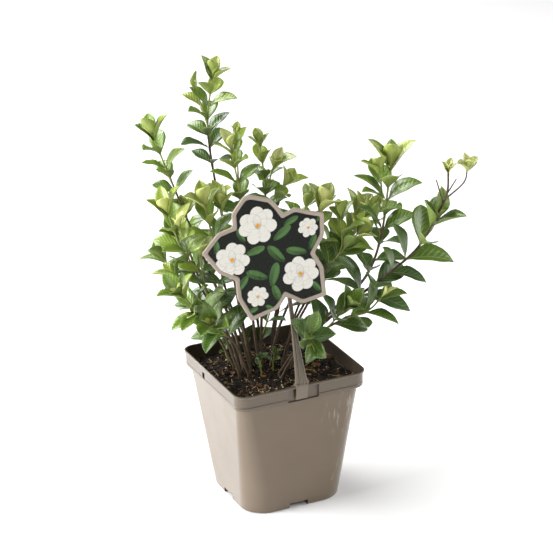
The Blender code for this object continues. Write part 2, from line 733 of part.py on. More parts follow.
def build_stems(parts, holes):
    """Canes, their holes and the side shoots first, then the leaves.

    Each stem ends as one solid; a hole is its cane's buried length and a gap.
    """
    bark = add_material("stem_bark", (0.16, 0.11, 0.06), 0.7)
    garden = Garden()
    garden.add(label_shield(), "label")
    canes = {}
    growths = {}
    routes = {name: plan_routes(shoots) for name, shoots in STEMS.items()}
    for name, (route, *side_routes) in routes.items():
        foot = route.stops[0] - Vector((0, 0, STEM_DEPTH))
        cane = tube(name, parts, [foot] + route.stops, route.radii[:1] + route.radii)
        garden.add(cane, name)
        canes[name] = add_object(name, cane, parts, bark)
        wide = route.radii[0] + GAP * 1.3
        hole = tube(name, parts, [foot - Vector((0, 0, GAP)), route.stops[0]], [wide, wide])
        hide_tool(add_object("hole_" + name, hole, holes))
        growths[name] = add_collection("growth_" + name)
        for number, side_route in enumerate(side_routes):
            twig = tube("twig", parts, side_route.stops, side_route.radii, roundness=0)
            garden.add(twig, name)
            add_object(f"twig_{number}", twig, growths[name])
    for name, shoots in STEMS.items():
        growth = growths[name]
        for number, leaf in enumerate(grow_leaves(name, shoots, routes[name], garden)):
            add_object(f"leaf_{number}", blade_mesh(leaf), growth)
        add_boolean(canes[name], "UNION", group=growth)
        apply_modifiers(canes[name])
        for item in list(growth.objects):
            bpy.data.objects.remove(item)
        bpy.data.collections.remove(growth)


def main():
    clear_scene()
    parts = add_collection("potted_gardenia")
    cutters = add_collection("cutters")
    holes = add_collection("cutters_holes")
    build_pot(parts, cutters)
    build_label(parts, cutters)
    build_stems(parts, holes)
    build_soil(parts, cutters, holes)


main()
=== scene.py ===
"""Dresses the potted gardenia: pot, compost, label, canes and leaves, and a studio.

Metres, +Z up. The pot stands on the origin and the label hangs on its -Y side.
Each finished piece stands for the plain solid of the same part of the plant.
"""
import math
import random
from collections import namedtuple

import bmesh
import bpy
from mathutils import Matrix, Vector, kdtree, noise
from mathutils.bvhtree import BVHTree
from mathutils.geometry import intersect_point_line


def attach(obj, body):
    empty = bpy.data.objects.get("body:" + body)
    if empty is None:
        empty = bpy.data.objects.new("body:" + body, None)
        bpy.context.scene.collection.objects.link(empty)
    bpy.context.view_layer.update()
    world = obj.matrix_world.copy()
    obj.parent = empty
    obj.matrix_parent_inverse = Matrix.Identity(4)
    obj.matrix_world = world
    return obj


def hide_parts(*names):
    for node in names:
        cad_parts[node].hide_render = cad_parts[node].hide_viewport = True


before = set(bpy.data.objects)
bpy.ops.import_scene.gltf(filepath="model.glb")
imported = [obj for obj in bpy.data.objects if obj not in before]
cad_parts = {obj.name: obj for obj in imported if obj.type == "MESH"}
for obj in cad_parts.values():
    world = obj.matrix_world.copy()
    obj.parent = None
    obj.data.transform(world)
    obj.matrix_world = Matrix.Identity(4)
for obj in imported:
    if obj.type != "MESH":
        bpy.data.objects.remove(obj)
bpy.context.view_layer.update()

bl_info = {
    "name": "Potted Gardenia",
    "version": (1, 0, 0),
    "blender": (4, 5, 0),
    "location": "3D View > Sidebar > Gardenia",
    "description": "Models a young gardenia in a square nursery pot with its plant label",
    "category": "Add Mesh",
}

MM = 0.001
GAP = 0.3 * MM


# ---------------------------------------------------------------- sizes

# The pot: half widths are measured to its outside faces.
POT_HEIGHT = 170 * MM
RIM_HALF = 85 * MM
COLLAR_HALF = 83.8 * MM
NECK_HALF = 79.5 * MM
FOOT_HALF = 63.8 * MM
RIM_CORNER = 14.5 * MM
NECK_CORNER = 16 * MM
FOOT_CORNER = 31 * MM
COLLAR_HEIGHT = 19 * MM
LIP_HEIGHT = 2.8 * MM
COLLAR_FOOT = POT_HEIGHT - COLLAR_HEIGHT
LIP_FOOT = POT_HEIGHT - LIP_HEIGHT
LIP_WALL = 2.5 * MM
WALL = 1.6 * MM
FOOT_NOTCH = Vector((24, 15, 7)) * MM      # along the wall, inwards, upwards
DRAIN_SLOT = Vector((14, 4, 20)) * MM
CLIP_RECESS = Vector((40, 3.3, 17)) * MM
TAG_SLOT = Vector((12, 6.5, 8)) * MM
TAG_SLOT_PLACE = Vector((-84, 19, 158)) * MM

# The compost
SOIL_TOP = 153.5 * MM
SOIL_WAVE = 1.8 * MM
STEM_DEPTH = 48 * MM
BED_HALF = RIM_HALF - LIP_WALL - 2.2 * MM
BED_CORNER = RIM_CORNER - LIP_WALL
BED_CELLS = 150                             # along each side
BED_CLODS, BED_CRUMBS = 2.1 * MM, 0.5 * MM  # heights
BED_SINK, BED_SHORE = 1.6 * MM, 7 * MM      # the bed sinks at the wall, within this distance
BED_FREE = 3.5 * MM                         # no loose bits so near to the wall

# The label: it leans to the left and is turned a little to the pot's corner.
LABEL_PLACE = Vector((-2.6, -85, 170)) * MM
LABEL_LEAN = math.radians(-6.5)
LABEL_YAW = math.radians(-8)
LABEL_THICK = 2.2 * MM
LABEL_BORDER = 5.2 * MM
LABEL_RECESS = 1.2 * MM
LABEL_CORNER = 2.4 * MM
PRINT_THICK = 0.6 * MM
CLIP_WIDTH = 15 * MM
CLIP_THICK = 2 * MM
# Corners of the plate, clockwise from the top lobe: across and up from the clip
LABEL_OUTLINE = (
    (-53, 233), (-37, 250), (-27, 250), (-5, 240), (2, 229),
    (7, 219), (21, 223), (37, 215), (54, 208), (51, 181),
    (37, 162), (45, 143), (44, 106), (14, 103),
    (-4, 117), (-15, 104), (-49, 97), (-61, 129),
    (-60, 152), (-78, 165), (-94, 194), (-72, 214), (-54, 217),
)
# The print's motifs: blossoms by middle and radius, leaves by middle, length and turn in degrees
BLOSSOMS = ((-25, 212, 23), (17, 141, 22), (-60, 178, 21), (33, 195, 12), (-37, 126, 13))
SPRIGS = ((2, 196, 26, 60), (-8, 172, 30, -35), (-32, 182, 24, 80), (-46, 204, 20, -20),
          (36, 176, 20, 30), (14, 208, 20, 70), (-14, 148, 30, 20), (-34, 152, 28, -60),
          (-52, 146, 22, 40), (-14, 124, 24, -15), (-76, 196, 18, 10), (16, 170, 26, -70),
          (-46, 110, 16, 75), (34, 120, 18, -30), (-70, 160, 18, 65), (48, 204, 12, 40),
          (-24, 108, 14, -50))
PRINT_FRONT = -LABEL_THICK / 2 + LABEL_RECESS - GAP - PRINT_THICK
PRINT_PETAL, PRINT_HEART, PRINT_SPRIG = 0, 1, 2
PETAL_RINGS = ((7, 0.62, 0.36), (6, 0.38, 0.31), (5, 0.18, 0.22))  # count, reach and width
# The stake: height above the clip and width
STAKE_WIDTHS = ((1.4, 17), (12, 13), (50, 8), (85, 5), (115, 4.4))
STAKE_DEPTH = 3.4 * MM
STAKE_WALL = 1.2 * MM
# The clip's band, from the outer tongue over the rim to the inner tongue: y, z
CLIP_ROUTE = ((-83.2, 152), (-86.6, 164.5), (-86.6, 170), (-85.4, 171.9),
              (-79, 171.9), (-77.5, 170.4), (-77.5, 160))

# Leaves
BLADE_THICK = 0.9 * MM
BLADE_STATIONS = (0.38, 0.73)
BLADE_SHAPE = 0.54                          # width over length
BLADE_CELLS = (4, 11)                       # of a finished blade, across and along
STALK_SHARE = 0.08                          # of a leaf's length
STALK_WIDTH = 0.07                          # against the blade's
LEAF_MARGIN = 0.5 * MM
LEAF_TRIES = 7                              # before a leaf is left off
TIP_REACH = 2 * MM                          # from a shoot's end to its first leaves
OLD_REACH = 100 * MM                        # from there to leaves that are full grown
LIGHT = Vector((-0.25, -0.62, 0.74))        # the side that the leaves turn their faces to

# A shoot: points from foot to tip in millimetres, thickness at each end, the
# share of its length without leaves, the distance between leaf pairs, the
# length of its lowest and of its highest leaves, and the way its first pair
# faces in degrees.
Shoot = namedtuple("Shoot", "points thick thin bare gap low high turn")

# Each stem is a cane from the compost, with the shoots that branch from it.
STEMS = {
    "stem_left_tall": [
        Shoot([(-30, 22, 158), (-40, 26, 210), (-68, 38, 295), (-97, 60, 392), (-113, 72, 447)],
              5, 2, 0.76, 15, 32, 36, 20),
        Shoot([(-58, 34, 268), (-86, 50, 300), (-98, 52, 330)], 3, 1.8, 0.4, 18, 38, 32, 60),
    ],
    "stem_tallest": [
        Shoot([(-18, 24, 158), (-24, 30, 200), (-32, 46, 290), (-43, 64, 400), (-45, 70, 458),
               (-38, 67, 511)],
              5.5, 2, 0.68, 17, 40, 34, 0),
        Shoot([(-45, 70, 450), (-53, 82, 493)], 2.6, 1.8, 0.4, 14, 32, 32, 70),
        Shoot([(-36, 54, 340), (-46, 42, 372)], 2.6, 1.8, 0.2, 14, 34, 30, 30),
    ],
    "stem_middle_tall": [
        Shoot([(-12, 10, 158), (-18, 12, 200), (-24, 16, 300), (-29, 19, 379), (-35, 27, 434)],
              4.5, 2, 0.55, 19, 44, 32, 60),
        Shoot([(-30, 20, 385), (-24, 36, 446)], 2.4, 1.8, 0.45, 15, 34, 32, 10),
    ],
    "stem_left_lime": [
        Shoot([(-26, 10, 158), (-36, 10, 200), (-56, 8, 270), (-70, 8, 335), (-78, 8, 380)],
              4, 2, 0.5, 20, 44, 36, 45),
        Shoot([(-64, 8, 305), (-54, 14, 350), (-56, 12, 372)], 2.4, 1.8, 0.4, 16, 36, 34, 0),
    ],
    "stem_centre": [
        Shoot([(-4, 24, 158), (-3, 26, 200), (6, 34, 285), (15, 44, 370), (15, 58, 424)],
              4.5, 2, 0.55, 18, 42, 24, 30),
        Shoot([(14, 42, 362), (20, 30, 402)], 2.4, 1.8, 0.3, 18, 36, 36, 0),
        Shoot([(12, 40, 345), (38, 36, 376)], 2.4, 1.8, 0.3, 15, 34, 32, 50),
        Shoot([(-3, 26, 190), (4, 22, 212), (10, 20, 238)], 2.4, 1.8, 0.2, 13, 30, 30, 20),
    ],
    "stem_right_back": [
        Shoot([(10, 24, 158), (16, 30, 205), (48, 44, 280), (72, 50, 340)],
              4.2, 2, 0.5, 17, 44, 34, 75),
    ],
    "stem_right_middle": [
        Shoot([(2, 12, 158), (14, 14, 200), (52, 14, 280), (72, 11, 346)],
              4.2, 2, 0.35, 20, 50, 38, 15),
    ],
    "stem_right_near": [
        Shoot([(14, 6, 158), (28, 2, 200), (70, -6, 272), (88, -10, 300), (91, -4, 338)],
              4.2, 2, 0.5, 20, 50, 36, 50),
        Shoot([(78, -8, 283), (106, -16, 316)], 2.4, 1.8, 0.3, 16, 48, 40, 0),
    ],
    "stem_right_far_back": [
        Shoot([(24, 18, 158), (40, 20, 205), (94, 26, 275), (130, 30, 326)],
              4.2, 2, 0.5, 20, 50, 38, 0),
        Shoot([(106, 27, 292), (132, 6, 330)], 2.4, 1.8, 0.3, 16, 44, 36, 40),
    ],
    "stem_right_tall": [
        Shoot([(22, -4, 158), (34, -12, 192), (68, -24, 228), (108, -34, 268), (130, -33, 318),
               (143, -32, 399)],
              5, 2.2, 0.5, 17, 44, 46, 30),
        Shoot([(130, -33, 316), (128, -6, 338)], 2.4, 1.8, 0.3, 14, 40, 36, 80),
        Shoot([(134, -33, 340), (127, -36, 399)], 2.4, 1.8, 0.4, 15, 38, 36, 50),
    ],
    "stem_far_right": [
        Shoot([(12, -10, 158), (24, -22, 190), (58, -40, 228), (92, -55, 257), (127, -76, 291),
               (151, -88, 318), (165, -98, 350)], 5, 2.6, 0.5, 24, 58, 46, 60),
        Shoot([(165, -98, 350), (177, -107, 384), (178, -109, 416)], 3.4, 2.4, 0.8, 14, 18, 19, 0),
        Shoot([(175, -105, 376), (190, -124, 402), (191, -130, 422)],
              2.4, 1.8, 0.75, 14, 20, 26, 60),
        Shoot([(174, -104, 374), (166, -102, 402)], 2, 1.6, 1, 14, 20, 20, 0),
        Shoot([(177, -107, 384), (188, -110, 402)], 2, 1.6, 1, 14, 20, 20, 0),
    ],
    "stem_right_low": [
        Shoot([(0, -16, 158), (22, -34, 198), (62, -62, 232), (88, -80, 246), (102, -86, 262)],
              4, 2, 0.45, 20, 48, 44, 40),
        Shoot([(44, -51, 220), (62, -74, 252)], 2.4, 1.8, 0.3, 16, 42, 38, 0),
    ],
    "stem_front": [
        Shoot([(-4, -30, 158), (4, -64, 210), (6, -92, 236), (0, -106, 234)],
              3.2, 2, 0.6, 14, 34, 36, 0),
    ],
    "stem_left_upper": [
        Shoot([(-38, 12, 158), (-54, 12, 212), (-84, 12, 272), (-106, 16, 325), (-120, 22, 373)],
              4.4, 2, 0.5, 19, 46, 38, 10),
        Shoot([(-96, 14, 300), (-108, 0, 338), (-115, 0, 362)], 2.4, 1.8, 0.35, 16, 38, 32, 50),
    ],
    "stem_left_back": [
        Shoot([(-26, 36, 158), (-40, 46, 210), (-68, 60, 268), (-80, 68, 325), (-82, 62, 353)],
              4.2, 2, 0.45, 18, 40, 32, 55),
    ],
    "stem_left_low": [
        Shoot([(-34, -2, 158), (-52, -8, 202), (-82, -14, 240), (-108, -16, 266), (-122, -18, 284)],
              4, 2, 0.4, 21, 46, 38, 35),
        Shoot([(-66, -12, 218), (-90, -32, 246)], 2.4, 1.8, 0.3, 17, 42, 40, 0),
        Shoot([(-88, -16, 246), (-112, -32, 264)], 2.4, 1.8, 0.3, 18, 42, 40, 60),
    ],
    "stem_left_middle": [
        Shoot([(-44, 2, 158), (-62, 2, 215), (-84, 0, 275), (-92, -4, 324)],
              4, 2, 0.45, 17, 40, 36, 80),
        Shoot([(-72, 2, 240), (-100, 14, 275), (-112, 26, 292)], 2.6, 1.8, 0.3, 16, 38, 30, 20),
    ],
    "stem_back_left": [
        Shoot([(-12, 38, 158), (-18, 54, 196), (-34, 80, 232), (-46, 98, 274)],
              4.2, 2, 0.1, 23, 44, 38, 25),
    ],
    "stem_back_middle": [
        Shoot([(2, 38, 158), (6, 56, 196), (14, 82, 236), (20, 102, 284)],
              4.2, 2, 0.1, 23, 44, 38, 65),
    ],
    "stem_back_right": [
        Shoot([(16, 36, 158), (30, 52, 200), (58, 76, 244), (84, 94, 290)],
              4.2, 2, 0.12, 24, 44, 38, 5),
    ],
    "stem_back_low": [
        Shoot([(30, 30, 158), (54, 46, 205), (92, 66, 242), (118, 78, 270)],
              4, 2, 0.4, 26, 44, 34, 50),
    ],
    "stem_left_far_back": [
        Shoot([(-40, 28, 158), (-60, 50, 210), (-84, 80, 255), (-98, 96, 284)],
              4, 2, 0.4, 20, 40, 32, 15),
    ],
    "sprout_left": [
        Shoot([(-40, 44, 158), (-44, 43, 172), (-46, 40, 184)], 2, 1.6, 0.3, 9, 15, 14, 0),
    ],
    "sprout_middle": [
        Shoot([(-18, -4, 158), (-20, -6, 168), (-19, -8, 178)], 2, 1.6, 0.3, 9, 14, 13, 40),
    ],
    "sprout_right": [
        Shoot([(-2, -4, 158), (-4, -8, 170), (-2, -10, 182)], 2, 1.6, 0.3, 9, 14, 13, 80),
    ],
}
STEM_STEP = 44 * MM                         # length of a straight piece of a plain stem
LINE_STEP = 4 * MM                          # length of a piece of a finished cane
CANE_SHARE = 0.9                            # thickness between joints against the plain solid's
JOINT_REACH = 1.6 * MM                      # how far along a cane a joint swells it
# Leaves of these stems are at least so ripe, from 0 to 1.
LEAST_RIPE = {"stem_far_right": 0.5, "stem_left_tall": 0.3,
              "stem_left_low": 0.25, "stem_left_back": 0.2}
YOUNG_AT = 0.14                             # ripeness of leaves that are no longer fresh
# Leaves below this height are darkened towards the old colour, partly for their age and partly as
# painted shade low in the plant.
RIPE_AND_SHADED_TOP, RIPE_AND_SHADED_DEPTH = 320 * MM, 100 * MM   # below this height leaves ripen, within this distance

Leaf = namedtuple("Leaf", "root along across face length width arch fold age")


# ---------------------------------------------------------------- small helpers


def tint(colour, share):
    """A colour made darker or lighter."""
    return [part * share for part in colour]


def only(kind, pieces):
    """The pieces of one kind (BMVert, BMEdge or BMFace) out of what an operator made."""
    return [piece for piece in pieces if isinstance(piece, getattr(bmesh.types, kind))]


def add_item(name, data):
    """A new object in the scene."""
    item = bpy.data.objects.new(name, data)
    bpy.context.scene.collection.objects.link(item)
    return item


def add_mesh(name, mesh):
    """Put a bmesh into a new object and let go of it."""
    data = bpy.data.meshes.new(name)
    mesh.to_mesh(data)
    mesh.free()
    return add_item(name, data)


def settle(mesh, matrix=None):
    """Turn all faces outwards and move the mesh to its place."""
    bmesh.ops.recalc_face_normals(mesh, faces=mesh.faces)
    if matrix:
        bmesh.ops.transform(mesh, matrix=matrix, verts=mesh.verts)


# ---------------------------------------------------------------- how the plant grows


def ground(x, y):
    """Height of the compost: two waves of clods on a level bed."""
    clods = math.sin(62 * x + 0.8) * math.cos(55 * y)
    crumbs = math.sin(171 * x + 2.0) * math.sin(149 * y + 0.6)
    return SOIL_TOP + SOIL_WAVE * clods + SOIL_WAVE * 0.6 * crumbs


def skin(mesh, rings):
    """A plain closed solid through rings of points, for finding room for a leaf."""
    loops = [[mesh.verts.new(point) for point in ring] for ring in rings]
    for lower, upper in zip(loops, loops[1:]):
        count = max(len(lower), len(upper))
        for here in range(count):
            after = (here + 1) % count
            if len(lower) == 1:
                mesh.faces.new((lower[0], upper[after], upper[here]))
            elif len(upper) == 1:
                mesh.faces.new((lower[here], lower[after], upper[0]))
            elif here % 2:
                mesh.faces.new((lower[here], lower[after], upper[after]))
                mesh.faces.new((lower[here], upper[after], upper[here]))
            else:
                mesh.faces.new((lower[here], lower[after], upper[here]))
                mesh.faces.new((lower[after], upper[after], upper[here]))
    if len(loops[0]) > 1:
        mesh.faces.new(reversed(loops[0]))
    if len(loops[-1]) > 1:
        mesh.faces.new(loops[-1])


def label_turn():
    """From the label's own plane to its place over the rim."""
    return (Matrix.Translation(LABEL_PLACE) @ Matrix.Rotation(LABEL_YAW, 4, "Z")
            @ Matrix.Rotation(LABEL_LEAN, 4, "Y"))


def label_face(mesh, depth, shrink=0.0, segments=1):
    """The five-lobed outline as one face, drawn in by shrink, with its corners rounded."""
    corners = [mesh.verts.new((across * MM, depth, up * MM)) for across, up in LABEL_OUTLINE]
    face = mesh.faces.new(reversed(corners))
    if shrink:
        mesh.normal_update()
        rim = bmesh.ops.inset_region(mesh, faces=[face], thickness=shrink, use_boundary=True,
                                     use_even_offset=True)["faces"]
        bmesh.ops.delete(mesh, geom=rim, context="FACES")
    bmesh.ops.bevel(mesh, geom=mesh.verts[:], offset=LABEL_CORNER, offset_type="OFFSET",
                    segments=segments, profile=0.5, affect="VERTICES", material=-1,
                    clamp_overlap=True)
    mesh.faces.ensure_lookup_table()
    return mesh.faces[0]


def extrude_by(mesh, face, shift):
    """Extrude one face and give back the face at the far end."""
    far = only("BMFace", bmesh.ops.extrude_face_region(mesh, geom=[face])["geom"])[0]
    bmesh.ops.translate(mesh, vec=shift, verts=far.verts[:])
    return far


def stake_rings():
    """A channel section that narrows upwards, open to the front."""
    rings = []
    front = -STAKE_DEPTH / 2
    back = STAKE_DEPTH / 2
    for height, width in STAKE_WIDTHS:
        half = width * MM / 2
        inner = half - STAKE_WALL
        section = ((-half, front), (-inner, front), (-inner, back - STAKE_WALL),
                   (inner, back - STAKE_WALL), (inner, front), (half, front), (half, back),
                   (-half, back))
        rings.append([Vector((x, y, height * MM)) for x, y in section])
    return rings


def label_shield():
    """A plain slab and bar where the label stands, which leaves keep clear of."""
    mesh = bmesh.new()
    back = label_face(mesh, LABEL_THICK)
    extrude_by(mesh, back, Vector((0, -2 * LABEL_THICK, 0)))
    skin(mesh, stake_rings())
    bmesh.ops.transform(mesh, matrix=label_turn(), verts=mesh.verts)
    return mesh


class Route:
    """The straight pieces that follow a smooth line through a shoot's points."""

    def __init__(self, shoot, step=STEM_STEP):
        knots = [Vector(point) * MM for point in shoot.points]
        knots = [2 * knots[0] - knots[1]] + knots + [2 * knots[-1] - knots[-2]]
        self.stops = [knots[1]]
        for start in range(1, len(knots) - 2):
            pieces = max(1, round((knots[start + 1] - knots[start]).length / step))
            four = knots[start - 1:start + 3]
            self.stops += [self.between(four, piece / pieces) for piece in range(1, pieces + 1)]
        self.marks = [0.0]
        for before, after in zip(self.stops, self.stops[1:]):
            self.marks.append(self.marks[-1] + (after - before).length)
        self.length = self.marks[-1]
        self.radii = [(shoot.thick + (shoot.thin - shoot.thick) * mark / self.length) / 2 * MM
                      for mark in self.marks]

    @staticmethod
    def between(four, share):
        """A point between the second and third of four knots (Catmull-Rom)."""
        before, start, end, after = four
        return 0.5 * (2 * start + (end - before) * share
                      + (2 * before - 5 * start + 4 * end - after) * share ** 2
                      + (3 * start - before - 3 * end + after) * share ** 3)

    def at(self, distance):
        """The point at a distance from the foot, and the way the stem runs there."""
        for here in range(1, len(self.marks)):
            if self.marks[here] >= distance:
                break
        step = self.stops[here] - self.stops[here - 1]
        share = (distance - self.marks[here - 1]) / step.length
        return self.stops[here - 1] + step * share, step.normalized()

    def nearest(self, point):
        """The place on the line that is nearest to a point."""
        places = []
        for start, end in zip(self.stops, self.stops[1:]):
            place, share = intersect_point_line(point, start, end)
            places.append(start.lerp(end, min(max(share, 0.0), 1.0)))
        return min(places, key=lambda place: (place - point).length)


def plan_routes(shoots):
    """The routes of one stem; each side shoot starts on the stem before it."""
    routes = [Route(shoots[0])]
    for shoot in shoots[1:]:
        wanted = Vector(shoot.points[0]) * MM
        places = [route.nearest(wanted) for route in routes]
        start = min(places, key=lambda place: (place - wanted).length)
        routes.append(Route(shoot._replace(points=[start / MM] + shoot.points[1:])))
    return routes


def outline(share, full=3.7, foot=1.15, point=0.8):
    """Half width of a blade along its length: a stalk, then an oval, widest past its middle."""
    if share <= STALK_SHARE:
        return STALK_WIDTH
    blade = (share - STALK_SHARE) / (1 - STALK_SHARE)
    return STALK_WIDTH * (1 - blade) + full * blade ** foot * (1 - blade) ** point


def blade_point(leaf, share, side, lift=0.0):
    """A place on a blade: share from root to tip, side from -1 to 1."""
    turn = leaf.arch * share
    half = leaf.width / 2 * outline(share)
    forward = leaf.length * math.sin(turn) / leaf.arch
    sag = leaf.length * (1 - math.cos(turn)) / leaf.arch
    upright = leaf.along * math.sin(turn) + leaf.face * math.cos(turn)
    rise = abs(side) * half * math.sin(leaf.fold) + lift
    return (leaf.root + leaf.along * forward - leaf.face * sag
            + leaf.across * (side * half * math.cos(leaf.fold)) + upright * rise)


def blade_rings(leaf, margin=0.0):
    """Sections of the solid blade; a margin makes the room that it needs."""
    reach = 1 + 2 * margin / leaf.width
    rings = [[blade_point(leaf, 0, 0, -BLADE_THICK / 2)]]
    for share in BLADE_STATIONS:
        rings.append([
            blade_point(leaf, share, reach),
            blade_point(leaf, share, 0, margin),
            blade_point(leaf, share, -reach),
            blade_point(leaf, share, 0, -BLADE_THICK - margin),
        ])
    rings.append([blade_point(leaf, 1, 0, -BLADE_THICK / 2)])
    return rings


def make_leaf(root, heading, turn, opening, size, rng, age):
    """A leaf that opens from its stem, its upper face turned to the light."""
    sideways = heading.orthogonal().normalized()
    sideways.rotate(Matrix.Rotation(turn, 3, heading))
    along = heading * math.cos(opening) + sideways * math.sin(opening)
    along = (along + Vector((0, 0, 0.3 * age))).normalized()
    face = heading * math.sin(opening) - sideways * math.cos(opening)
    light = LIGHT * (0.15 + 0.75 * age)
    face = face + light - along * light.dot(along)
    face = (face - along * face.dot(along)).normalized()
    face.rotate(Matrix.Rotation(rng.uniform(-0.3, 0.3), 3, along))
    length = size * rng.uniform(0.85, 1.15)
    width = length * BLADE_SHAPE * rng.uniform(0.88, 1.12)
    arch = rng.uniform(0.2, 0.6) + 0.3 * age
    fold = rng.uniform(0.2, 0.35) + 0.2 * (1 - age)
    return Leaf(root, along, face.cross(along), face, length, width, arch, fold, age)


def corners_of(mesh):
    """The lowest and the highest corner of a mesh's box."""
    return [Vector([pick(point.co[axis] for point in mesh.verts) for axis in range(3)])
            for pick in (min, max)]


class Garden:
    """Everything that stands in the way of the next leaf."""

    def __init__(self):
        self.things = []

    def add(self, mesh, owner):
        self.things.append((*corners_of(mesh), BVHTree.FromBMesh(mesh), owner))

    def clear_of(self, leaf, owner):
        """Whether a leaf is free of the pot, the compost and all other things."""
        rings = blade_rings(leaf, LEAF_MARGIN)
        for point in (point for ring in rings[1:] for point in ring):
            inside = max(abs(point.x), abs(point.y)) < RIM_HALF - 5 * MM
            if point.z < (SOIL_TOP + 4 * MM if inside else POT_HEIGHT + 3 * MM):
                return False
        mesh = bmesh.new()
        skin(mesh, rings)
        low, high = corners_of(mesh)
        tree = BVHTree.FromBMesh(mesh)
        mesh.free()
        for other_low, other_high, other_tree, other_owner in self.things:
            apart = any(low[axis] > other_high[axis] or high[axis] < other_low[axis]
                        for axis in range(3))
            if other_owner != owner and not apart and tree.overlap(other_tree):
                return False
        return True


def grow_leaves(name, shoots, routes, garden):
    """Whorls of two or three leaves from each shoot's tip down.

    A leaf that would cross another stem, its leaves or the label is turned
    and shortened, and is left off where it still finds no room. Each leaf comes
    with the number of its shoot and its distance from the shoot's foot.
    """
    rng = random.Random(name)
    leaves = []
    for branch, (shoot, route) in enumerate(zip(shoots, routes)):
        leafy = route.length * (1 - shoot.bare)
        reach = TIP_REACH
        turn = math.radians(shoot.turn)
        row = 0
        while reach < leafy:
            age = min(1.0, reach / OLD_REACH)
            size = (shoot.high + (shoot.low - shoot.high) * age) * MM * (0.85 if row == 0 else 1)
            root, heading = route.at(route.length - reach)
            whorl = 3 if row and rng.random() < 0.15 else 2
            for number in range(whorl):
                opening = math.radians(14 + 11 * min(row, 2) + 24 * age) + rng.uniform(-0.12, 0.12)
                swing = turn + math.tau * number / whorl + rng.uniform(-0.25, 0.25)
                length = size
                for _ in range(LEAF_TRIES):
                    leaf = make_leaf(root, heading, swing, opening, length, rng, age)
                    if garden.clear_of(leaf, name):
                        leaves.append((leaf, branch, route.length - reach))
                        garden.add(blade_solid(leaf), f"{name} leaf {len(leaves)}")
                        break
                    swing += rng.uniform(-0.5, 0.5)
                    opening *= rng.uniform(0.8, 1.2)
                    length *= 0.95
            reach += shoot.gap * MM * (0.3 if row == 0 else 1) * rng.uniform(0.85, 1.15)
            turn += math.pi / whorl
            row += 1
    return leaves


def blade_solid(leaf):
    """The plain solid of one leaf."""
    mesh = bmesh.new()
    skin(mesh, blade_rings(leaf))
    return mesh


def tube(name, stops, radii, roundness=1):
    """A tapered stem through its stops, as a mesh with closed ends."""
    curve = bpy.data.curves.new(name, "CURVE")
    curve.dimensions = "3D"
    curve.bevel_depth = max(radii)
    curve.bevel_resolution = roundness
    curve.use_fill_caps = True
    line = curve.splines.new("POLY")
    line.points.add(len(stops) - 1)
    for point, stop, radius in zip(line.points, stops, radii):
        point.co = (*stop, 1)
        point.radius = radius / max(radii)
    bent = add_item(name, curve)
    view = bpy.context.evaluated_depsgraph_get()
    data = bpy.data.meshes.new_from_object(bent.evaluated_get(view))
    bpy.data.objects.remove(bent)
    mesh = bmesh.new()
    mesh.from_mesh(data)
    bmesh.ops.remove_doubles(mesh, verts=mesh.verts, dist=0.01 * MM)
    settle(mesh)
    return mesh


def plan_plant():
    """Every stem's routes and leaves: canes and side shoots find room first."""
    garden = Garden()
    garden.add(label_shield(), "label")
    routes = {name: plan_routes(shoots) for name, shoots in STEMS.items()}
    for name, (route, *side_routes) in routes.items():
        foot = route.stops[0] - Vector((0, 0, STEM_DEPTH))
        garden.add(tube(name, [foot] + route.stops, route.radii[:1] + route.radii), name)
        for side_route in side_routes:
            garden.add(tube("twig", side_route.stops, side_route.radii, roundness=0), name)
    return {name: (routes[name], grow_leaves(name, shoots, routes[name], garden))
            for name, shoots in STEMS.items()}


# ---------------------------------------------------------------- meshes


def finish_piece(name, mesh, materials, node, smooth=True, sharp=None):
    """Turn a bmesh into a finished piece that stands for a CAD node."""
    item = add_mesh(name, mesh)
    for material in materials:
        item.data.materials.append(material)
    if smooth:
        item.data.shade_smooth()
    if sharp is not None:
        item.data.set_sharp_from_angle(angle=math.radians(sharp))
    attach(item, "root")
    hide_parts(node)
    return item


def bake_down(item):
    """Apply an object's modifiers."""
    view = bpy.context.evaluated_depsgraph_get()
    result = bpy.data.meshes.new_from_object(item.evaluated_get(view))
    item.modifiers.clear()
    item.data = result


def soften(item, width, angle):
    """A small round on every hard edge, with the flats kept flat."""
    round_off = item.modifiers.new("rounded edges", "BEVEL")
    round_off.width = width
    round_off.segments = 2
    round_off.limit_method = "ANGLE"
    round_off.angle_limit = math.radians(angle)
    flats = item.modifiers.new("flat faces", "WEIGHTED_NORMAL")
    flats.keep_sharp = True


def square_ring(mesh, half, corner, height, segments=10):
    """A square outline with round corners; gives back its corner points."""
    grid = bmesh.ops.create_grid(mesh, x_segments=1, y_segments=1, size=half)
    made = bmesh.ops.bevel(mesh, geom=grid["verts"], offset=corner, offset_type="OFFSET",
                           segments=segments, profile=0.5, affect="VERTICES", material=-1)
    points = made["verts"]
    bmesh.ops.translate(mesh, vec=(0, 0, height), verts=points)
    bmesh.ops.delete(mesh, geom=made["faces"] + points[0].link_faces[:], context="FACES_ONLY")
    return points


def reshape_ring(points, before, after):
    """Move a round-cornered square from one half width, corner and height to the next."""
    old_half, old_corner, _ = before
    half, corner, height = after
    for point in points:
        sign = Vector((math.copysign(1, point.co.x), math.copysign(1, point.co.y)))
        arm = (point.co.xy - sign * (old_half - old_corner)) / old_corner
        place = sign * (half - corner) + arm * corner
        point.co = (place.x, place.y, height)


def loft_squares(mesh, profile, segments=10):
    """A wall through a list of (half width, corner, height), closed at both ends."""
    points = square_ring(mesh, *profile[0], segments=segments)
    edges = list({edge for point in points for edge in point.link_edges})
    bmesh.ops.contextual_create(mesh, geom=edges)
    for before, after in zip(profile, profile[1:]):
        grown = bmesh.ops.extrude_edge_only(mesh, edges=edges)["geom"]
        points = only("BMVert", grown)
        edges = [edge for edge in only("BMEdge", grown) if all(end in points for end in edge.verts)]
        reshape_ring(points, before, after)
    bmesh.ops.contextual_create(mesh, geom=edges)
    settle(mesh)


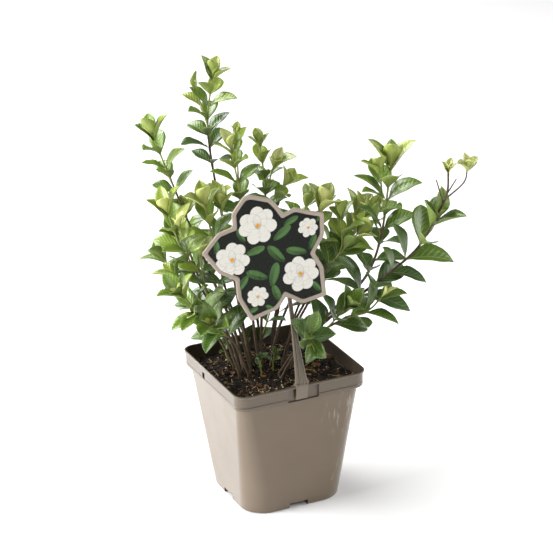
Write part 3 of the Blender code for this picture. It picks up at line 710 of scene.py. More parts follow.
def add_box(mesh, centre, size, turn=0.0):
    """A box, turned about the pot's axis."""
    box = bmesh.ops.create_cube(mesh, size=1.0)["verts"]
    bmesh.ops.scale(mesh, vec=size, verts=box)
    bmesh.ops.translate(mesh, vec=centre, verts=box)
    bmesh.ops.rotate(mesh, cent=(0, 0, 0), matrix=Matrix.Rotation(turn, 3, "Z"), verts=box)


def cut_away(item, tool):
    """Cut a tool out of a piece, for good, and remove the tool."""
    change = item.modifiers.new(tool.name, "BOOLEAN")
    change.operation = "DIFFERENCE"
    change.object = tool
    bake_down(item)
    bpy.data.objects.remove(tool)


# ---------------------------------------------------------------- shader nodes


def add_node(tree, kind, at, **settings):
    """Add a node at (column, row) and set its properties."""
    node = tree.nodes.new(kind)
    node.location = (at[0] * 200, at[1] * -180)
    for key, value in settings.items():
        setattr(node, key, value)
    return node


def feed(tree, node, **sources):
    """Fill sockets by name: a socket is linked, any other value is set."""
    for key, source in sources.items():
        socket = node.inputs[int(key[1:])] if key[0] == "_" else node.inputs[key.replace("_", " ")]
        if isinstance(source, bpy.types.NodeSocket):
            tree.links.new(source, socket)
        elif socket.type == "RGBA":
            socket.default_value = (*source[:3], 1)
        else:
            socket.default_value = source
    return node


def do_math(tree, at, operation, first, second=0.5, third=None, clamp=False):
    """One step of arithmetic on two or three values."""
    node = add_node(tree, "ShaderNodeMath", at, operation=operation, use_clamp=clamp)
    feed(tree, node, _0=first, _1=second)
    if third is not None:
        feed(tree, node, _2=third)
    return node.outputs[0]


def smooth_step(tree, at, value, low, high, bottom=0.0, top=1.0):
    """Runs softly from bottom to top while the value goes from low to high."""
    node = add_node(tree, "ShaderNodeMapRange", at, interpolation_type="SMOOTHSTEP")
    feed(tree, node, Value=value, From_Min=low, From_Max=high, To_Min=bottom, To_Max=top)
    return node.outputs["Result"]


def mix_colours(tree, at, share, first, second):
    """The first colour, with a share of the second over it."""
    node = add_node(tree, "ShaderNodeMix", at, data_type="RGBA")
    feed(tree, node, _0=share, _6=first, _7=second)
    return node.outputs[2]


def colour_ramp(tree, at, value, *stops):
    """A ramp through (position, colour) stops."""
    node = add_node(tree, "ShaderNodeValToRGB", at)
    elements = node.color_ramp.elements
    while len(elements) < len(stops):
        elements.new(0.5)
    for element, (position, colour) in zip(elements, stops):
        element.position = position
        element.color = (*colour[:3], 1)
    feed(tree, node, Fac=value)
    return node.outputs["Color"]


def noise_map(tree, at, vector, scale, detail=3.0, roughness=0.55):
    """An uneven field round 0.5."""
    node = add_node(tree, "ShaderNodeTexNoise", at)
    feed(tree, node, Vector=vector, Scale=scale, Detail=detail, Roughness=roughness)
    return node.outputs[0]


def spots(tree, at, place, scale, detail, roughness, low, high, bottom=0.0, top=1.0):
    """Soft-edged spots where a noise lies over low, up to full strength at high."""
    field = noise_map(tree, (at[0] - 1, at[1]), place, scale, detail, roughness)
    return smooth_step(tree, at, field, low, high, bottom, top)


def axis_of(tree, at, vector, axis):
    """One number, X, Y or Z, out of a vector."""
    node = add_node(tree, "ShaderNodeSeparateXYZ", at)
    return feed(tree, node, _0=vector).outputs[axis]


def stretch(tree, at, place, scale, rotation=(0, 0, 0)):
    """A place whose map is drawn out one way, for fibres and scratches."""
    node = add_node(tree, "ShaderNodeMapping", at)
    return feed(tree, node, Vector=place, Rotation=rotation, Scale=scale).outputs[0]


def new_group(name, inputs, outputs):
    """A node group with named sockets; gives back its tree, its input and its output node."""
    tree = bpy.data.node_groups.new(name, "ShaderNodeTree")
    for label, kind, default in inputs:
        socket = tree.interface.new_socket(name=label, in_out="INPUT", socket_type=kind)
        if default is not None:
            socket.default_value = default
    for label, kind in outputs:
        tree.interface.new_socket(name=label, in_out="OUTPUT", socket_type=kind)
    start = add_node(tree, "NodeGroupInput", (-1, 0))
    end = add_node(tree, "NodeGroupOutput", (8, 0))
    return tree, start, end


def use_group(tree, at, group, **values):
    """A node that holds a group, with its sockets filled."""
    node = add_node(tree, "ShaderNodeGroup", at, node_tree=group)
    return feed(tree, node, **values)


def new_material(name, **sockets):
    """A Principled material; gives back the material, its tree and its shader."""
    material = bpy.data.materials.new(name)
    material.use_nodes = True
    tree = material.node_tree
    shader = tree.nodes["Principled BSDF"]
    shader.location = (1600, 0)
    tree.nodes["Material Output"].location = (1900, 0)
    feed(tree, shader, **sockets)
    return material, tree, shader


def place_of(tree, at=(0, 0)):
    """The point on the object, in metres."""
    return add_node(tree, "ShaderNodeTexCoord", at).outputs["Object"]


def attribute_of(tree, at, name):
    """A number that the mesh carries at its points."""
    return add_node(tree, "ShaderNodeAttribute", at, attribute_name=name).outputs["Fac"]


def bump_from(tree, at, height, distance, strength=1.0):
    """A normal from a height field, as deep as distance in metres."""
    node = add_node(tree, "ShaderNodeBump", at)
    feed(tree, node, Height=height, Distance=distance, Strength=strength)
    return node.outputs["Normal"]


def moulded_skin_group():
    """Plastic from a mould: cloudy colour, fine grain and rubbed streaks."""
    tree, start, end = new_group(
        "Moulded Skin",
        [("Place", "NodeSocketVector", None), ("Cloud Scale", "NodeSocketFloat", 18.0),
         ("Grain Scale", "NodeSocketFloat", 900.0), ("Streak Scale", "NodeSocketFloat", 26.0)],
        [("Cloud", "NodeSocketFloat"), ("Streak", "NodeSocketFloat"),
         ("Height", "NodeSocketFloat")])
    place = start.outputs["Place"]
    cloud = noise_map(tree, (0, 0), place, start.outputs["Cloud Scale"], 4.0, 0.6)
    grain = noise_map(tree, (0, 1), place, start.outputs["Grain Scale"], 2.0)
    drawn = stretch(tree, (0, 2), place, (1.0, 6.0, 0.5), (0.5, 0.35, 0.9))
    streak = spots(tree, (2, 2), drawn, start.outputs["Streak Scale"], 5.0, 0.7, 0.6, 0.74)
    patch = spots(tree, (2, 3), place, 9.0, 2.0, 0.55, 0.5, 0.66)
    rubbed = do_math(tree, (3, 2), "MULTIPLY", streak, patch)
    height = do_math(tree, (3, 1), "MULTIPLY_ADD", rubbed, -0.6, grain)
    feed(tree, end, Cloud=cloud, Streak=rubbed, Height=height)
    return tree


def leaf_veins_group():
    """Midrib and side veins on a blade whose map has its rib at 0.5 across."""
    tree, start, end = new_group(
        "Leaf Veins",
        [("Blade", "NodeSocketVector", None), ("Pairs", "NodeSocketFloat", 8.0),
         ("Slant", "NodeSocketFloat", 0.3), ("Rib Width", "NodeSocketFloat", 0.07)],
        [("Rib", "NodeSocketFloat"), ("Veins", "NodeSocketFloat"), ("Height", "NodeSocketFloat")])
    blade = start.outputs["Blade"]
    upwards = axis_of(tree, (0, 1), blade, "Y")
    centred = do_math(tree, (1, 0), "SUBTRACT", axis_of(tree, (0, 0), blade, "X"), 0.5)
    across = do_math(tree, (2, 0), "MULTIPLY", do_math(tree, (1, 1), "ABSOLUTE", centred), 2.0)
    narrow = do_math(tree, (2, 1), "MULTIPLY_ADD", upwards, -0.7, 1.1)
    width = do_math(tree, (3, 1), "MULTIPLY", narrow, start.outputs["Rib Width"])
    rib = smooth_step(tree, (4, 0), across, 0.0, width, 1.0, 0.0)
    bend = do_math(tree, (3, 2), "POWER", across, 0.8)
    lean = do_math(tree, (4, 2), "MULTIPLY", bend, start.outputs["Slant"])
    along = do_math(tree, (5, 2), "SUBTRACT", upwards, lean)
    pace = do_math(tree, (5, 3), "MULTIPLY", start.outputs["Pairs"], math.tau)
    turns = do_math(tree, (6, 2), "MULTIPLY", along, pace)
    wave = do_math(tree, (7, 2), "SINE", turns)
    lines = smooth_step(tree, (7, 3), wave, 0.72, 1.0)
    fade = smooth_step(tree, (5, 1), across, 0.1, 0.95, 1.0, 0.25)
    veins = do_math(tree, (7, 1), "MULTIPLY", lines, fade)
    pillow = do_math(tree, (7, 4), "MULTIPLY", wave, -0.25)
    sunk = do_math(tree, (8, 3), "MULTIPLY_ADD", veins, -0.5, pillow)
    height = do_math(tree, (9, 3), "SUBTRACT", sunk, rib)
    end.location.x = 2200
    feed(tree, end, Rib=rib, Veins=veins, Height=height)
    return tree


# ---------------------------------------------------------------- materials

SCUFF_PLACE = (62 * MM, -78 * MM, 118 * MM)  # a rubbed corner of the pot
DUST_COLOUR = (0.06, 0.045, 0.03)
CRACK_COLOUR = (0.02, 0.014, 0.008)         # of bark
SAND_COLOUR = (0.30, 0.24, 0.15)            # of the finest grains in the compost


def plastic_material(name, colour, light, roughness, skin_group, dust, coat=0.35, collar=None):
    """Satin plastic with cloudy colour, pale rubs and a little compost dust.

    Above the height collar it is painted darker, a painted shade on the collar, and the wall below
    it is scuffed near one corner.
    """
    material, tree, shader = new_material(name, Coat_Weight=coat, Coat_Roughness=0.17)
    place = place_of(tree)
    skin = use_group(tree, (1, 0), skin_group, Place=place)
    body = colour_ramp(tree, (2, 0), skin.outputs["Cloud"],
                       (0.3, tint(colour, 0.93)), (0.7, tint(colour, 1.07)))
    if collar:
        # Painted shade: from just below the height collar upwards, the colour is mixed up to 0.8 of
        # the way towards 0.6 of itself.
        height = axis_of(tree, (0, 6), place, "Z")
        high = smooth_step(tree, (1, 6), height, collar - 3 * MM, collar + 1 * MM, 0.0, 0.8)
        body = mix_colours(tree, (3, 0), high, body, tint(colour, 0.6))
        corner = add_node(tree, "ShaderNodeVectorMath", (0, 7), operation="DISTANCE")
        feed(tree, corner, _0=place, _1=SCUFF_PLACE)
        near = smooth_step(tree, (1, 7), corner.outputs["Value"], 12 * MM, 42 * MM, 1.0, 0.0)
        brushed = stretch(tree, (0, 8), place, (1.0, 1.0, 0.14), (0.2, 0.75, 0.1))
        scratch = spots(tree, (2, 8), brushed, 240.0, 4.0, 0.6, 0.53, 0.66)
        faint = do_math(tree, (3, 8), "MULTIPLY", scratch, 0.45)
        scuffs = do_math(tree, (3, 7), "MULTIPLY", near, faint)
        body = mix_colours(tree, (4, 7), scuffs, body, light)
    streaks = do_math(tree, (3, 1), "MULTIPLY", skin.outputs["Streak"], 0.6)
    rubbed = mix_colours(tree, (4, 0), streaks, body, light)
    specks = spots(tree, (3, 3), place, 340.0, 4.0, 0.75, 0.66, 0.74)
    patches = spots(tree, (3, 4), place, 14.0, 3.0, 0.6, 0.5, 0.7)
    spread = do_math(tree, (4, 3), "MULTIPLY", specks, patches)
    dirt = do_math(tree, (5, 3), "MULTIPLY", spread, dust)
    shade = mix_colours(tree, (6, 0), dirt, rubbed, DUST_COLOUR)
    gloss = smooth_step(tree, (4, 2), skin.outputs["Cloud"], 0.25, 0.75,
                        roughness - 0.06, roughness + 0.08)
    normal = bump_from(tree, (6, 2), skin.outputs["Height"], 0.06 * MM)
    feed(tree, shader, Base_Color=shade, Roughness=gloss, Normal=normal)
    return material


def use_shade(tree, at, colour):
    """The same colour, deeper and fuller, as where a leaf lies in its own shade."""
    node = add_node(tree, "ShaderNodeHueSaturation", at)
    return feed(tree, node, Saturation=1.15, Value=0.55, Color=colour).outputs["Color"]


def leaf_material(name, settings, veins_group, underside=False):
    """A waxy blade: lime when young, dark when old, with pale ribs and veins."""
    material, tree, shader = new_material(name, Coat_Weight=0.0 if underside else 0.5,
                                          Coat_Roughness=0.28)
    place = place_of(tree)
    blade = add_node(tree, "ShaderNodeUVMap", (0, 2), uv_map="blade").outputs["UV"]
    age = attribute_of(tree, (0, 3), "age")
    tone = attribute_of(tree, (0, 4), "tone")
    veins = use_group(tree, (1, 2), veins_group, Blade=blade)
    mottle = noise_map(tree, (1, 0), place, 85.0, 4.0, 0.6)
    spread = do_math(tree, (2, 4), "MULTIPLY_ADD", tone, 0.36, -0.18)
    drift = do_math(tree, (2, 0), "MULTIPLY_ADD", mottle, 0.22, -0.11)
    own_age = do_math(tree, (2, 3), "ADD", age, spread)
    ripe = do_math(tree, (3, 3), "ADD", own_age, drift, clamp=True)
    side = "underside" if underside else "colour"
    young, grown, old = [getattr(settings, f"{stage}_{side}")
                         for stage in ("young", "grown", "old")]
    body = colour_ramp(tree, (4, 2), ripe, (0.0, settings.fresh_colour), (YOUNG_AT, young),
                       (0.45, grown), (0.9, old))
    # Painted shade: each blade darkens towards its foot to the shaded colour below, and random
    # blotches are darkened the same way.
    foot = smooth_step(tree, (2, 5), axis_of(tree, (1, 5), blade, "Y"), 0.0, 0.5, 0.5, 0.0)
    blotches = spots(tree, (3, 6), place, 190.0, 3.0, 0.6, 0.42, 0.66, 0.0, 0.3)
    depth = do_math(tree, (4, 5), "MAXIMUM", foot, blotches)
    body = mix_colours(tree, (5, 2), depth, body, use_shade(tree, (4, 6), body))
    pale = mix_colours(tree, (5, 3), 0.6, body, settings.vein_colour)
    lines = do_math(tree, (5, 4), "MULTIPLY", veins.outputs["Veins"], 0.4)
    threads = mix_colours(tree, (6, 2), lines, body, pale)
    rib = do_math(tree, (6, 4), "MULTIPLY", veins.outputs["Rib"], 0.95)
    ribbed = mix_colours(tree, (7, 2), rib, threads, pale)
    wax = noise_map(tree, (4, 0), place, 60.0, 3.0, 0.6)
    low = settings.roughness + (0.16 if underside else -0.06)
    gloss = smooth_step(tree, (5, 0), wax, 0.3, 0.7, low, low + 0.12)
    relief = do_math(tree, (5, 5), "MULTIPLY_ADD", mottle, 0.5, veins.outputs["Height"])
    normal = bump_from(tree, (7, 4), relief, 0.34 * MM, -0.8 if underside else 0.95)
    feed(tree, shader, Base_Color=ribbed, Roughness=gloss, Normal=normal)
    return material


def bark_material(settings):
    """Stems: brown cork below, olive and then green towards the tips."""
    material, tree, shader = new_material("stem_bark")
    place = place_of(tree)
    green = attribute_of(tree, (0, 3), "green")
    drawn = stretch(tree, (0, 1), place, (1.0, 1.0, 0.25))
    fibres = noise_map(tree, (1, 1), drawn, 620.0, 4.0, 0.7)
    blotch = noise_map(tree, (1, 0), place, 130.0, 3.0, 0.6)
    cork = colour_ramp(tree, (2, 0), blotch, (0.3, settings.bark_colour),
                       (0.7, tint(settings.bark_colour, 1.9)))
    skin = colour_ramp(tree, (2, 2), blotch, (0.3, settings.shoot_colour),
                       (0.75, tint(settings.shoot_colour, 1.4)))
    level = do_math(tree, (1, 3), "SUBTRACT", green, 0.25)
    uneven = do_math(tree, (2, 3), "MULTIPLY_ADD", blotch, 0.5, level)
    share = smooth_step(tree, (3, 3), uneven, 0.35, 0.8)
    body = mix_colours(tree, (4, 1), share, cork, skin)
    cracks = smooth_step(tree, (3, 4), fibres, 0.62, 0.4)
    old = do_math(tree, (4, 4), "MULTIPLY_ADD", share, -0.4, 0.55)
    worn = do_math(tree, (5, 4), "MULTIPLY", cracks, old)
    shade = mix_colours(tree, (6, 1), worn, body, CRACK_COLOUR)
    normal = bump_from(tree, (6, 3), fibres, 0.5 * MM, 0.8)
    gloss = smooth_step(tree, (5, 2), share, 0.0, 1.0, 0.78, 0.5)
    feed(tree, shader, Base_Color=shade, Roughness=gloss, Normal=normal)
    return material


def compost_material(settings):
    """Moist dark compost with brown fibres and pale grit."""
    material, tree, shader = new_material("compost", Specular_IOR_Level=0.22)
    place = place_of(tree)
    clods = noise_map(tree, (1, 0), place, 130.0, 6.0, 0.7)
    drawn = stretch(tree, (0, 1), place, (1.0, 5.0, 1.0), (0.4, 0.2, 0.7))
    fibres = spots(tree, (2, 1), drawn, 210.0, 4.0, 0.7, 0.56, 0.7)
    dark = settings.compost_colour
    body = colour_ramp(tree, (2, 0), clods, (0.32, tint(dark, 0.35)), (0.5, dark),
                       (0.72, tint(dark, 2.8)))
    faint = do_math(tree, (3, 1), "MULTIPLY", fibres, 0.55)
    threads = mix_colours(tree, (4, 0), faint, body, settings.bark_chip_colour)
    grit = spots(tree, (3, 3), place, 520.0, 2.0, 0.5, 0.7, 0.76)
    sand = do_math(tree, (4, 3), "MULTIPLY", grit, 0.6)
    shade = mix_colours(tree, (5, 0), sand, threads, SAND_COLOUR)
    wet = smooth_step(tree, (4, 2), clods, 0.3, 0.7, 0.62, 0.95)
    normal = bump_from(tree, (5, 2), clods, 1.6 * MM, 1.0)
    feed(tree, shader, Base_Color=shade, Roughness=wet, Normal=normal)
    return material


def litter_material(name, dark, light, roughness, turn_at=0.4):
    """Loose bits whose colour runs from dark to light by their own tone."""
    material, tree, shader = new_material(name, Specular_IOR_Level=0.25)
    place = place_of(tree)
    tone = attribute_of(tree, (0, 2), "tone")
    streaks = noise_map(tree, (1, 0), place, 420.0, 4.0, 0.7)
    level = do_math(tree, (1, 2), "SUBTRACT", tone, 0.3)
    mixed = do_math(tree, (2, 1), "MULTIPLY_ADD", streaks, 0.6, level)
    shade = colour_ramp(tree, (3, 0), mixed, (0.05, dark), (turn_at, tint(dark, 1.8)), (1.0, light))
    rough = smooth_step(tree, (3, 2), streaks, 0.3, 0.7, roughness - 0.1, roughness + 0.08)
    normal = bump_from(tree, (4, 2), streaks, 0.6 * MM)
    feed(tree, shader, Base_Color=shade, Roughness=rough, Normal=normal)
    return material


def print_material(name, dark, light, roughness):
    """Printed ink under a thin gloss, its shade running with the motif's tone."""
    material, tree, shader = new_material(name, Specular_IOR_Level=0.18)
    place = place_of(tree)
    tone = attribute_of(tree, (0, 2), "tone")
    soft = noise_map(tree, (1, 0), place, 160.0, 3.0, 0.6)
    level = do_math(tree, (1, 2), "SUBTRACT", tone, 0.25)
    mixed = do_math(tree, (2, 1), "MULTIPLY_ADD", soft, 0.5, level)
    shade = colour_ramp(tree, (3, 0), mixed, (0.05, dark), (0.75, light))
    gloss = smooth_step(tree, (3, 2), soft, 0.3, 0.7, roughness - 0.05, roughness + 0.08)
    normal = bump_from(tree, (4, 2), soft, 0.04 * MM)
    feed(tree, shader, Base_Color=shade, Roughness=gloss, Normal=normal)
    return material


# ---------------------------------------------------------------- settings


def colour_setting(name, note, red, green, blue):
    """A colour in linear red, green and blue."""
    return bpy.props.FloatVectorProperty(name=name, description=note, subtype="COLOR", size=3,
                                         min=0.0, max=1.0, default=(red, green, blue))


def length_setting(name, note, millimetres):
    """A length, given in millimetres and kept in metres."""
    return bpy.props.FloatProperty(name=name, description=note, subtype="DISTANCE", unit="LENGTH",
                                   min=0.0, precision=4, default=millimetres * MM)


def share_setting(name, note, default, low=0.05, high=1.0):
    """A plain factor between two limits."""
    return bpy.props.FloatProperty(name=name, description=note, subtype="FACTOR",
                                   min=low, max=high, default=default)


def angle_setting(name, note, degrees):
    """An angle, given in degrees and kept in radians."""
    return bpy.props.FloatProperty(name=name, description=note, subtype="ANGLE",
                                   default=math.radians(degrees))


class GardeniaPotSettings(bpy.types.PropertyGroup):
    plastic_colour: colour_setting("Plastic", "Colour of the pot's taupe plastic",
                                   0.125, 0.084, 0.044)
    rub_colour: colour_setting("Rubs", "Colour of pale streaks where the plastic is rubbed",
                               0.42, 0.36, 0.30)
    roughness: share_setting("Roughness", "How matt the plastic is", 0.34)
    edge_round: length_setting("Edge round", "Radius of the pot's moulded edges", 0.35)


class GardeniaLabelSettings(bpy.types.PropertyGroup):
    plastic_colour: colour_setting("Plastic", "Colour of the label's frame, stake and clip",
                                   0.33, 0.27, 0.215)
    # A darker copy of the label's plastic for the stake and the clip: painted shade.
    stake_shaded_colour: colour_setting("Stake", "Colour of the thin plastic of the stake and the clip",
                                 0.165, 0.130, 0.092)
    ground_colour: colour_setting("Print ground", "Dark ground of the printed sheet",
                                  0.006, 0.008, 0.005)
    petal_colour: colour_setting("Petals", "Colour of the printed petals", 0.70, 0.68, 0.62)
    heart_colour: colour_setting("Hearts", "Colour of the blossoms' hearts", 0.78, 0.36, 0.04)
    sprig_colour: colour_setting("Sprigs", "Colour of the printed leaves", 0.035, 0.075, 0.022)
    edge_round: length_setting("Edge round", "Radius of the frame's edges", 0.5)


class GardeniaLeafSettings(bpy.types.PropertyGroup):
    young_colour: colour_setting("Young", "Upper side of the youngest leaves", 0.27, 0.345, 0.032)
    grown_colour: colour_setting("Grown", "Upper side of grown leaves", 0.145, 0.245, 0.018)
    old_colour: colour_setting("Old", "Upper side of the oldest leaves", 0.042, 0.102, 0.008)
    young_underside: colour_setting("Young underside", "Lower side of the youngest leaves",
                                    0.31, 0.38, 0.08)
    grown_underside: colour_setting("Grown underside", "Lower side of grown leaves",
                                    0.17, 0.235, 0.05)
    old_underside: colour_setting("Old underside", "Lower side of the oldest leaves",
                                  0.085, 0.13, 0.035)
    vein_colour: colour_setting("Veins", "Colour of ribs and veins", 0.46, 0.54, 0.20)
    fresh_colour: colour_setting("Fresh", "Colour of leaves that have just opened",
                                 0.60, 0.62, 0.22)
    breadth: share_setting("Breadth", "Width of a finished blade against the plain solid's",
                           1.08, 0.5, 1.5)
    roughness: share_setting("Roughness", "How matt the wax on a leaf is", 0.36)
    thickness: length_setting("Thickness", "Thickness of a blade", 0.4)
    wave: length_setting("Wave", "How far a blade's margin waves up and down", 0.7)


class GardeniaStemSettings(bpy.types.PropertyGroup):
    bark_colour: colour_setting("Bark", "Colour of woody stems", 0.062, 0.040, 0.020)
    shoot_colour: colour_setting("Shoots", "Colour of young stems", 0.20, 0.22, 0.055)
    joint_swell: share_setting("Joints", "How much a stem swells at a pair of leaves", 0.35, 0.0)


class GardeniaCompostSettings(bpy.types.PropertyGroup):
    compost_colour: colour_setting("Compost", "Colour of the moist compost", 0.0075, 0.0048, 0.0030)
    bark_chip_colour: colour_setting("Bark chips", "Colour of the brightest bark chips",
                                     0.17, 0.075, 0.026)
    grit_colour: colour_setting("Grit", "Colour of the pale mineral grains", 0.62, 0.52, 0.30)
    straw_colour: colour_setting("Straw", "Colour of dry stalks in the compost", 0.42, 0.29, 0.12)
    chip_count: bpy.props.IntProperty(name="Chips", description="Number of loose bark chips",
                                      min=0, max=4000, default=2400)


class GardeniaStageSettings(bpy.types.PropertyGroup):
    floor_colour: colour_setting("Floor", "Colour of the studio floor", 0.86, 0.86, 0.86)
    camera_azimuth: angle_setting("Azimuth", "Direction the camera stands in, seen from above",
                                  -24.54)
    camera_elevation: angle_setting("Elevation", "Angle of the camera above the floor", 22.37)
    camera_roll: angle_setting("Roll", "How far the camera is tipped sideways", 1.39)
    camera_distance: length_setting("Distance", "Distance from the plant to the camera", 2810.8)
    target_height: length_setting("Target height", "Height of the point that the camera looks at",
                                  276.6)
    target_offset: length_setting("Target offset",
                                  "How far that point lies to the right of the pot's axis", 6.28)


# ---------------------------------------------------------------- pot


def pot_wall(height, inset):
    """Half width, corner and height of the tapered wall, moved inwards."""
    share = height / COLLAR_FOOT
    return (FOOT_HALF + (NECK_HALF - FOOT_HALF) * share - inset,
            FOOT_CORNER + (NECK_CORNER - FOOT_CORNER) * share - inset, height)


def pot_outside():
    """The outside from the foot up the wall, over the collar's step to the lip."""
    collar, lip = COLLAR_FOOT, LIP_FOOT
    profile = [pot_wall(0, 2.2 * MM), pot_wall(0.25 * MM, 1.3 * MM), pot_wall(0.9 * MM, 0.5 * MM)]
    profile += [pot_wall(height * MM, 0) for height in (2.4, 30, 60, 90, 120, 146)]
    return profile + [
        pot_wall(collar - 2.2 * MM, 0),
        (NECK_HALF + 1.4 * MM, NECK_CORNER - 0.4 * MM, collar - 1.9 * MM),
        (COLLAR_HALF - 1.4 * MM, RIM_CORNER, collar - 1.2 * MM),
        (COLLAR_HALF - 0.5 * MM, RIM_CORNER, collar - 0.5 * MM),
        (COLLAR_HALF - 0.2 * MM, RIM_CORNER, collar + 0.4 * MM),
        (COLLAR_HALF - 0.1 * MM, RIM_CORNER, collar + 3.2 * MM),
        (COLLAR_HALF - 0.7 * MM, RIM_CORNER - 0.3 * MM, collar + 3.8 * MM),
        (COLLAR_HALF - 0.1 * MM, RIM_CORNER, collar + 4.5 * MM),
        (COLLAR_HALF, RIM_CORNER, lip - 1.2 * MM),
        (RIM_HALF - 0.6 * MM, RIM_CORNER, lip - 0.4 * MM),
        (RIM_HALF - 0.1 * MM, RIM_CORNER, lip + 0.3 * MM),
        (RIM_HALF, RIM_CORNER, lip + 0.9 * MM),
        (RIM_HALF, RIM_CORNER, POT_HEIGHT - 0.9 * MM),
        (RIM_HALF - 0.25 * MM, RIM_CORNER - 0.25 * MM, POT_HEIGHT - 0.3 * MM),
        (RIM_HALF - 0.8 * MM, RIM_CORNER - 0.8 * MM, POT_HEIGHT),
    ]


def pot_inside(inset=0.0):
    """The cavity, from the floor up to past the lip."""
    collar = COLLAR_FOOT
    lip = RIM_HALF - LIP_WALL - inset
    corner = RIM_CORNER - LIP_WALL - inset
    return [
        pot_wall(2.2 * MM + inset, WALL + 2 * MM + inset),
        pot_wall(3 * MM + inset, WALL + 0.8 * MM + inset),
        pot_wall(4.6 * MM + inset, WALL + inset), pot_wall(70 * MM, WALL + inset),
        pot_wall(collar - 3 * MM, WALL + inset),
        (COLLAR_HALF - WALL - inset, RIM_CORNER - WALL - inset, collar + 0.6 * MM),
        (lip - 0.1 * MM, corner - 0.1 * MM, POT_HEIGHT - 4 * MM),
        (lip, corner, POT_HEIGHT - 0.9 * MM),
        (lip + 0.25 * MM, corner + 0.25 * MM, POT_HEIGHT - 0.3 * MM),
        (lip + 0.8 * MM, corner + 0.8 * MM, POT_HEIGHT),
        (lip + 0.8 * MM, corner + 0.8 * MM, POT_HEIGHT + 5 * MM),
    ]


def pot_pockets(mesh, grow):
    """Boxes for the notches at the foot and the clip's recess, larger by grow inwards."""
    reach = 20 * MM
    for side in range(4):
        size = (FOOT_NOTCH.x + 2 * grow, FOOT_NOTCH.y + reach + grow, FOOT_NOTCH.z + reach + grow)
        centre = (0, -FOOT_HALF + FOOT_NOTCH.y + grow - size[1] / 2,
                  FOOT_NOTCH.z + grow - size[2] / 2)
        add_box(mesh, centre, size, side * math.pi / 2)
    size = (CLIP_RECESS.x + 2 * grow, CLIP_RECESS.y + reach + grow, CLIP_RECESS.z + 2 * grow)
    top = LIP_FOOT + grow
    add_box(mesh, (0, -COLLAR_HALF + CLIP_RECESS.y + grow - size[1] / 2, top - size[2] / 2), size)


def make_pot(settings):
    """The moulded shell with its notches, drains, tag slot and the clip's recess."""
    mesh = bmesh.new()
    loft_squares(mesh, pot_outside())
    skin_group = moulded_skin_group()
    plastic = plastic_material("pot_plastic", settings.plastic_colour, settings.rub_colour,
                               settings.roughness, skin_group, 0.5, 0.9, COLLAR_FOOT)
    pot = finish_piece("pot_shell", mesh, [plastic], "pot", smooth=False)

    bumps = bmesh.new()
    pot_pockets(bumps, WALL)
    mesh = bmesh.new()
    loft_squares(mesh, pot_inside())
    cavity = add_mesh("cavity", mesh)
    cut_away(cavity, add_mesh("bumps", bumps))
    cut_away(pot, cavity)

    pockets = bmesh.new()
    pot_pockets(pockets, 0)
    add_box(pockets, TAG_SLOT_PLACE, TAG_SLOT)
    drains = bmesh.new()
    for side in range(4):
        place = (0, -FOOT_HALF + FOOT_NOTCH.y * 0.6, FOOT_NOTCH.z)
        add_box(drains, place, DRAIN_SLOT, side * math.pi / 2)
    cut_away(pot, add_mesh("pockets", pockets))
    cut_away(pot, add_mesh("drains", drains))
    # The inner walls take a copy of the plastic at 0.34 of its colour: painted shade inside the
    # pot, with compost dust spotted over it.
    pot.data.materials.append(plastic_material("pot_inside", tint(settings.plastic_colour, 0.34),
                                               settings.plastic_colour, 0.7, skin_group, 1.0, 0.0))
    # Faces turned inwards, and sheltered faces within the outer wall that are not turned outwards,
    # take the painted-shade inner material.
    for face in pot.data.polygons:
        middle = face.center
        half, corner, _ = pot_wall(min(middle.z, COLLAR_FOOT), 0.9 * MM)
        if middle.z > COLLAR_FOOT:
            half = COLLAR_HALF - 0.9 * MM
        sheltered = inside_pot(middle.x, middle.y, half, corner) > 0
        outward = middle.xy.normalized().dot(face.normal.xy)
        face.material_index = int(outward < -0.3 or sheltered and outward < 0.3)
    pot.data.shade_smooth()
    pot.data.set_sharp_from_angle(angle=math.radians(34))
    soften(pot, settings.edge_round, 55)


# ---------------------------------------------------------------- compost


def inside_pot(x, y, half, corner):
    """How far a point lies inside a round-cornered square, negative outside it."""
    across = max(abs(x) - (half - corner), 0.0)
    up = max(abs(y) - (half - corner), 0.0)
    if across and up:
        return corner - math.hypot(across, up)
    return half - max(abs(x), abs(y))


def bed_height(x, y):
    """The compost's top: the level of the plain solid with clods and crumbs on it."""
    clods = noise.fractal(Vector((x, y, 0.3)) * 95, 0.9, 2.2, 5, noise_basis="PERLIN_ORIGINAL")
    crumbs = noise.noise(Vector((x, y, 1.7)) * 420)
    rim = math.exp(-max(0.0, inside_pot(x, y, BED_HALF, BED_CORNER)) / BED_SHORE)
    return ground(x, y) + BED_CLODS * clods + BED_CRUMBS * crumbs - BED_SINK * rim


def make_compost(settings):
    """One closed block of compost with a rough top that meets the wall all round."""
    mesh = bmesh.new()
    grid = bmesh.ops.create_grid(mesh, x_segments=BED_CELLS, y_segments=BED_CELLS,
                                 size=BED_HALF)["verts"]
    flat = BED_HALF - BED_CORNER
    for point in grid:
        arm = Vector((max(abs(point.co.x) - flat, 0.0), max(abs(point.co.y) - flat, 0.0)))
        if arm.x and arm.y:
            arm *= max(arm) / arm.length
            point.co.xy = (math.copysign(flat + arm.x, point.co.x),
                           math.copysign(flat + arm.y, point.co.y))
        point.co.z = bed_height(point.co.x, point.co.y)
    before = (BED_HALF, BED_CORNER, 0)
    for after in (pot_wall(146 * MM, WALL + 0.4 * MM), pot_wall(60 * MM, WALL + 0.4 * MM),
                  pot_wall(12 * MM, WALL + 0.4 * MM)):
        rim = [edge for edge in mesh.edges if edge.is_boundary]
        made = bmesh.ops.extrude_edge_only(mesh, edges=rim)["geom"]
        reshape_ring(only("BMVert", made), before, after)
        before = after
    bmesh.ops.contextual_create(mesh, geom=[edge for edge in mesh.edges if edge.is_boundary])
    bmesh.ops.recalc_face_normals(mesh, faces=mesh.faces)
    finish_piece("compost_bed", mesh, [compost_material(settings)], "soil")


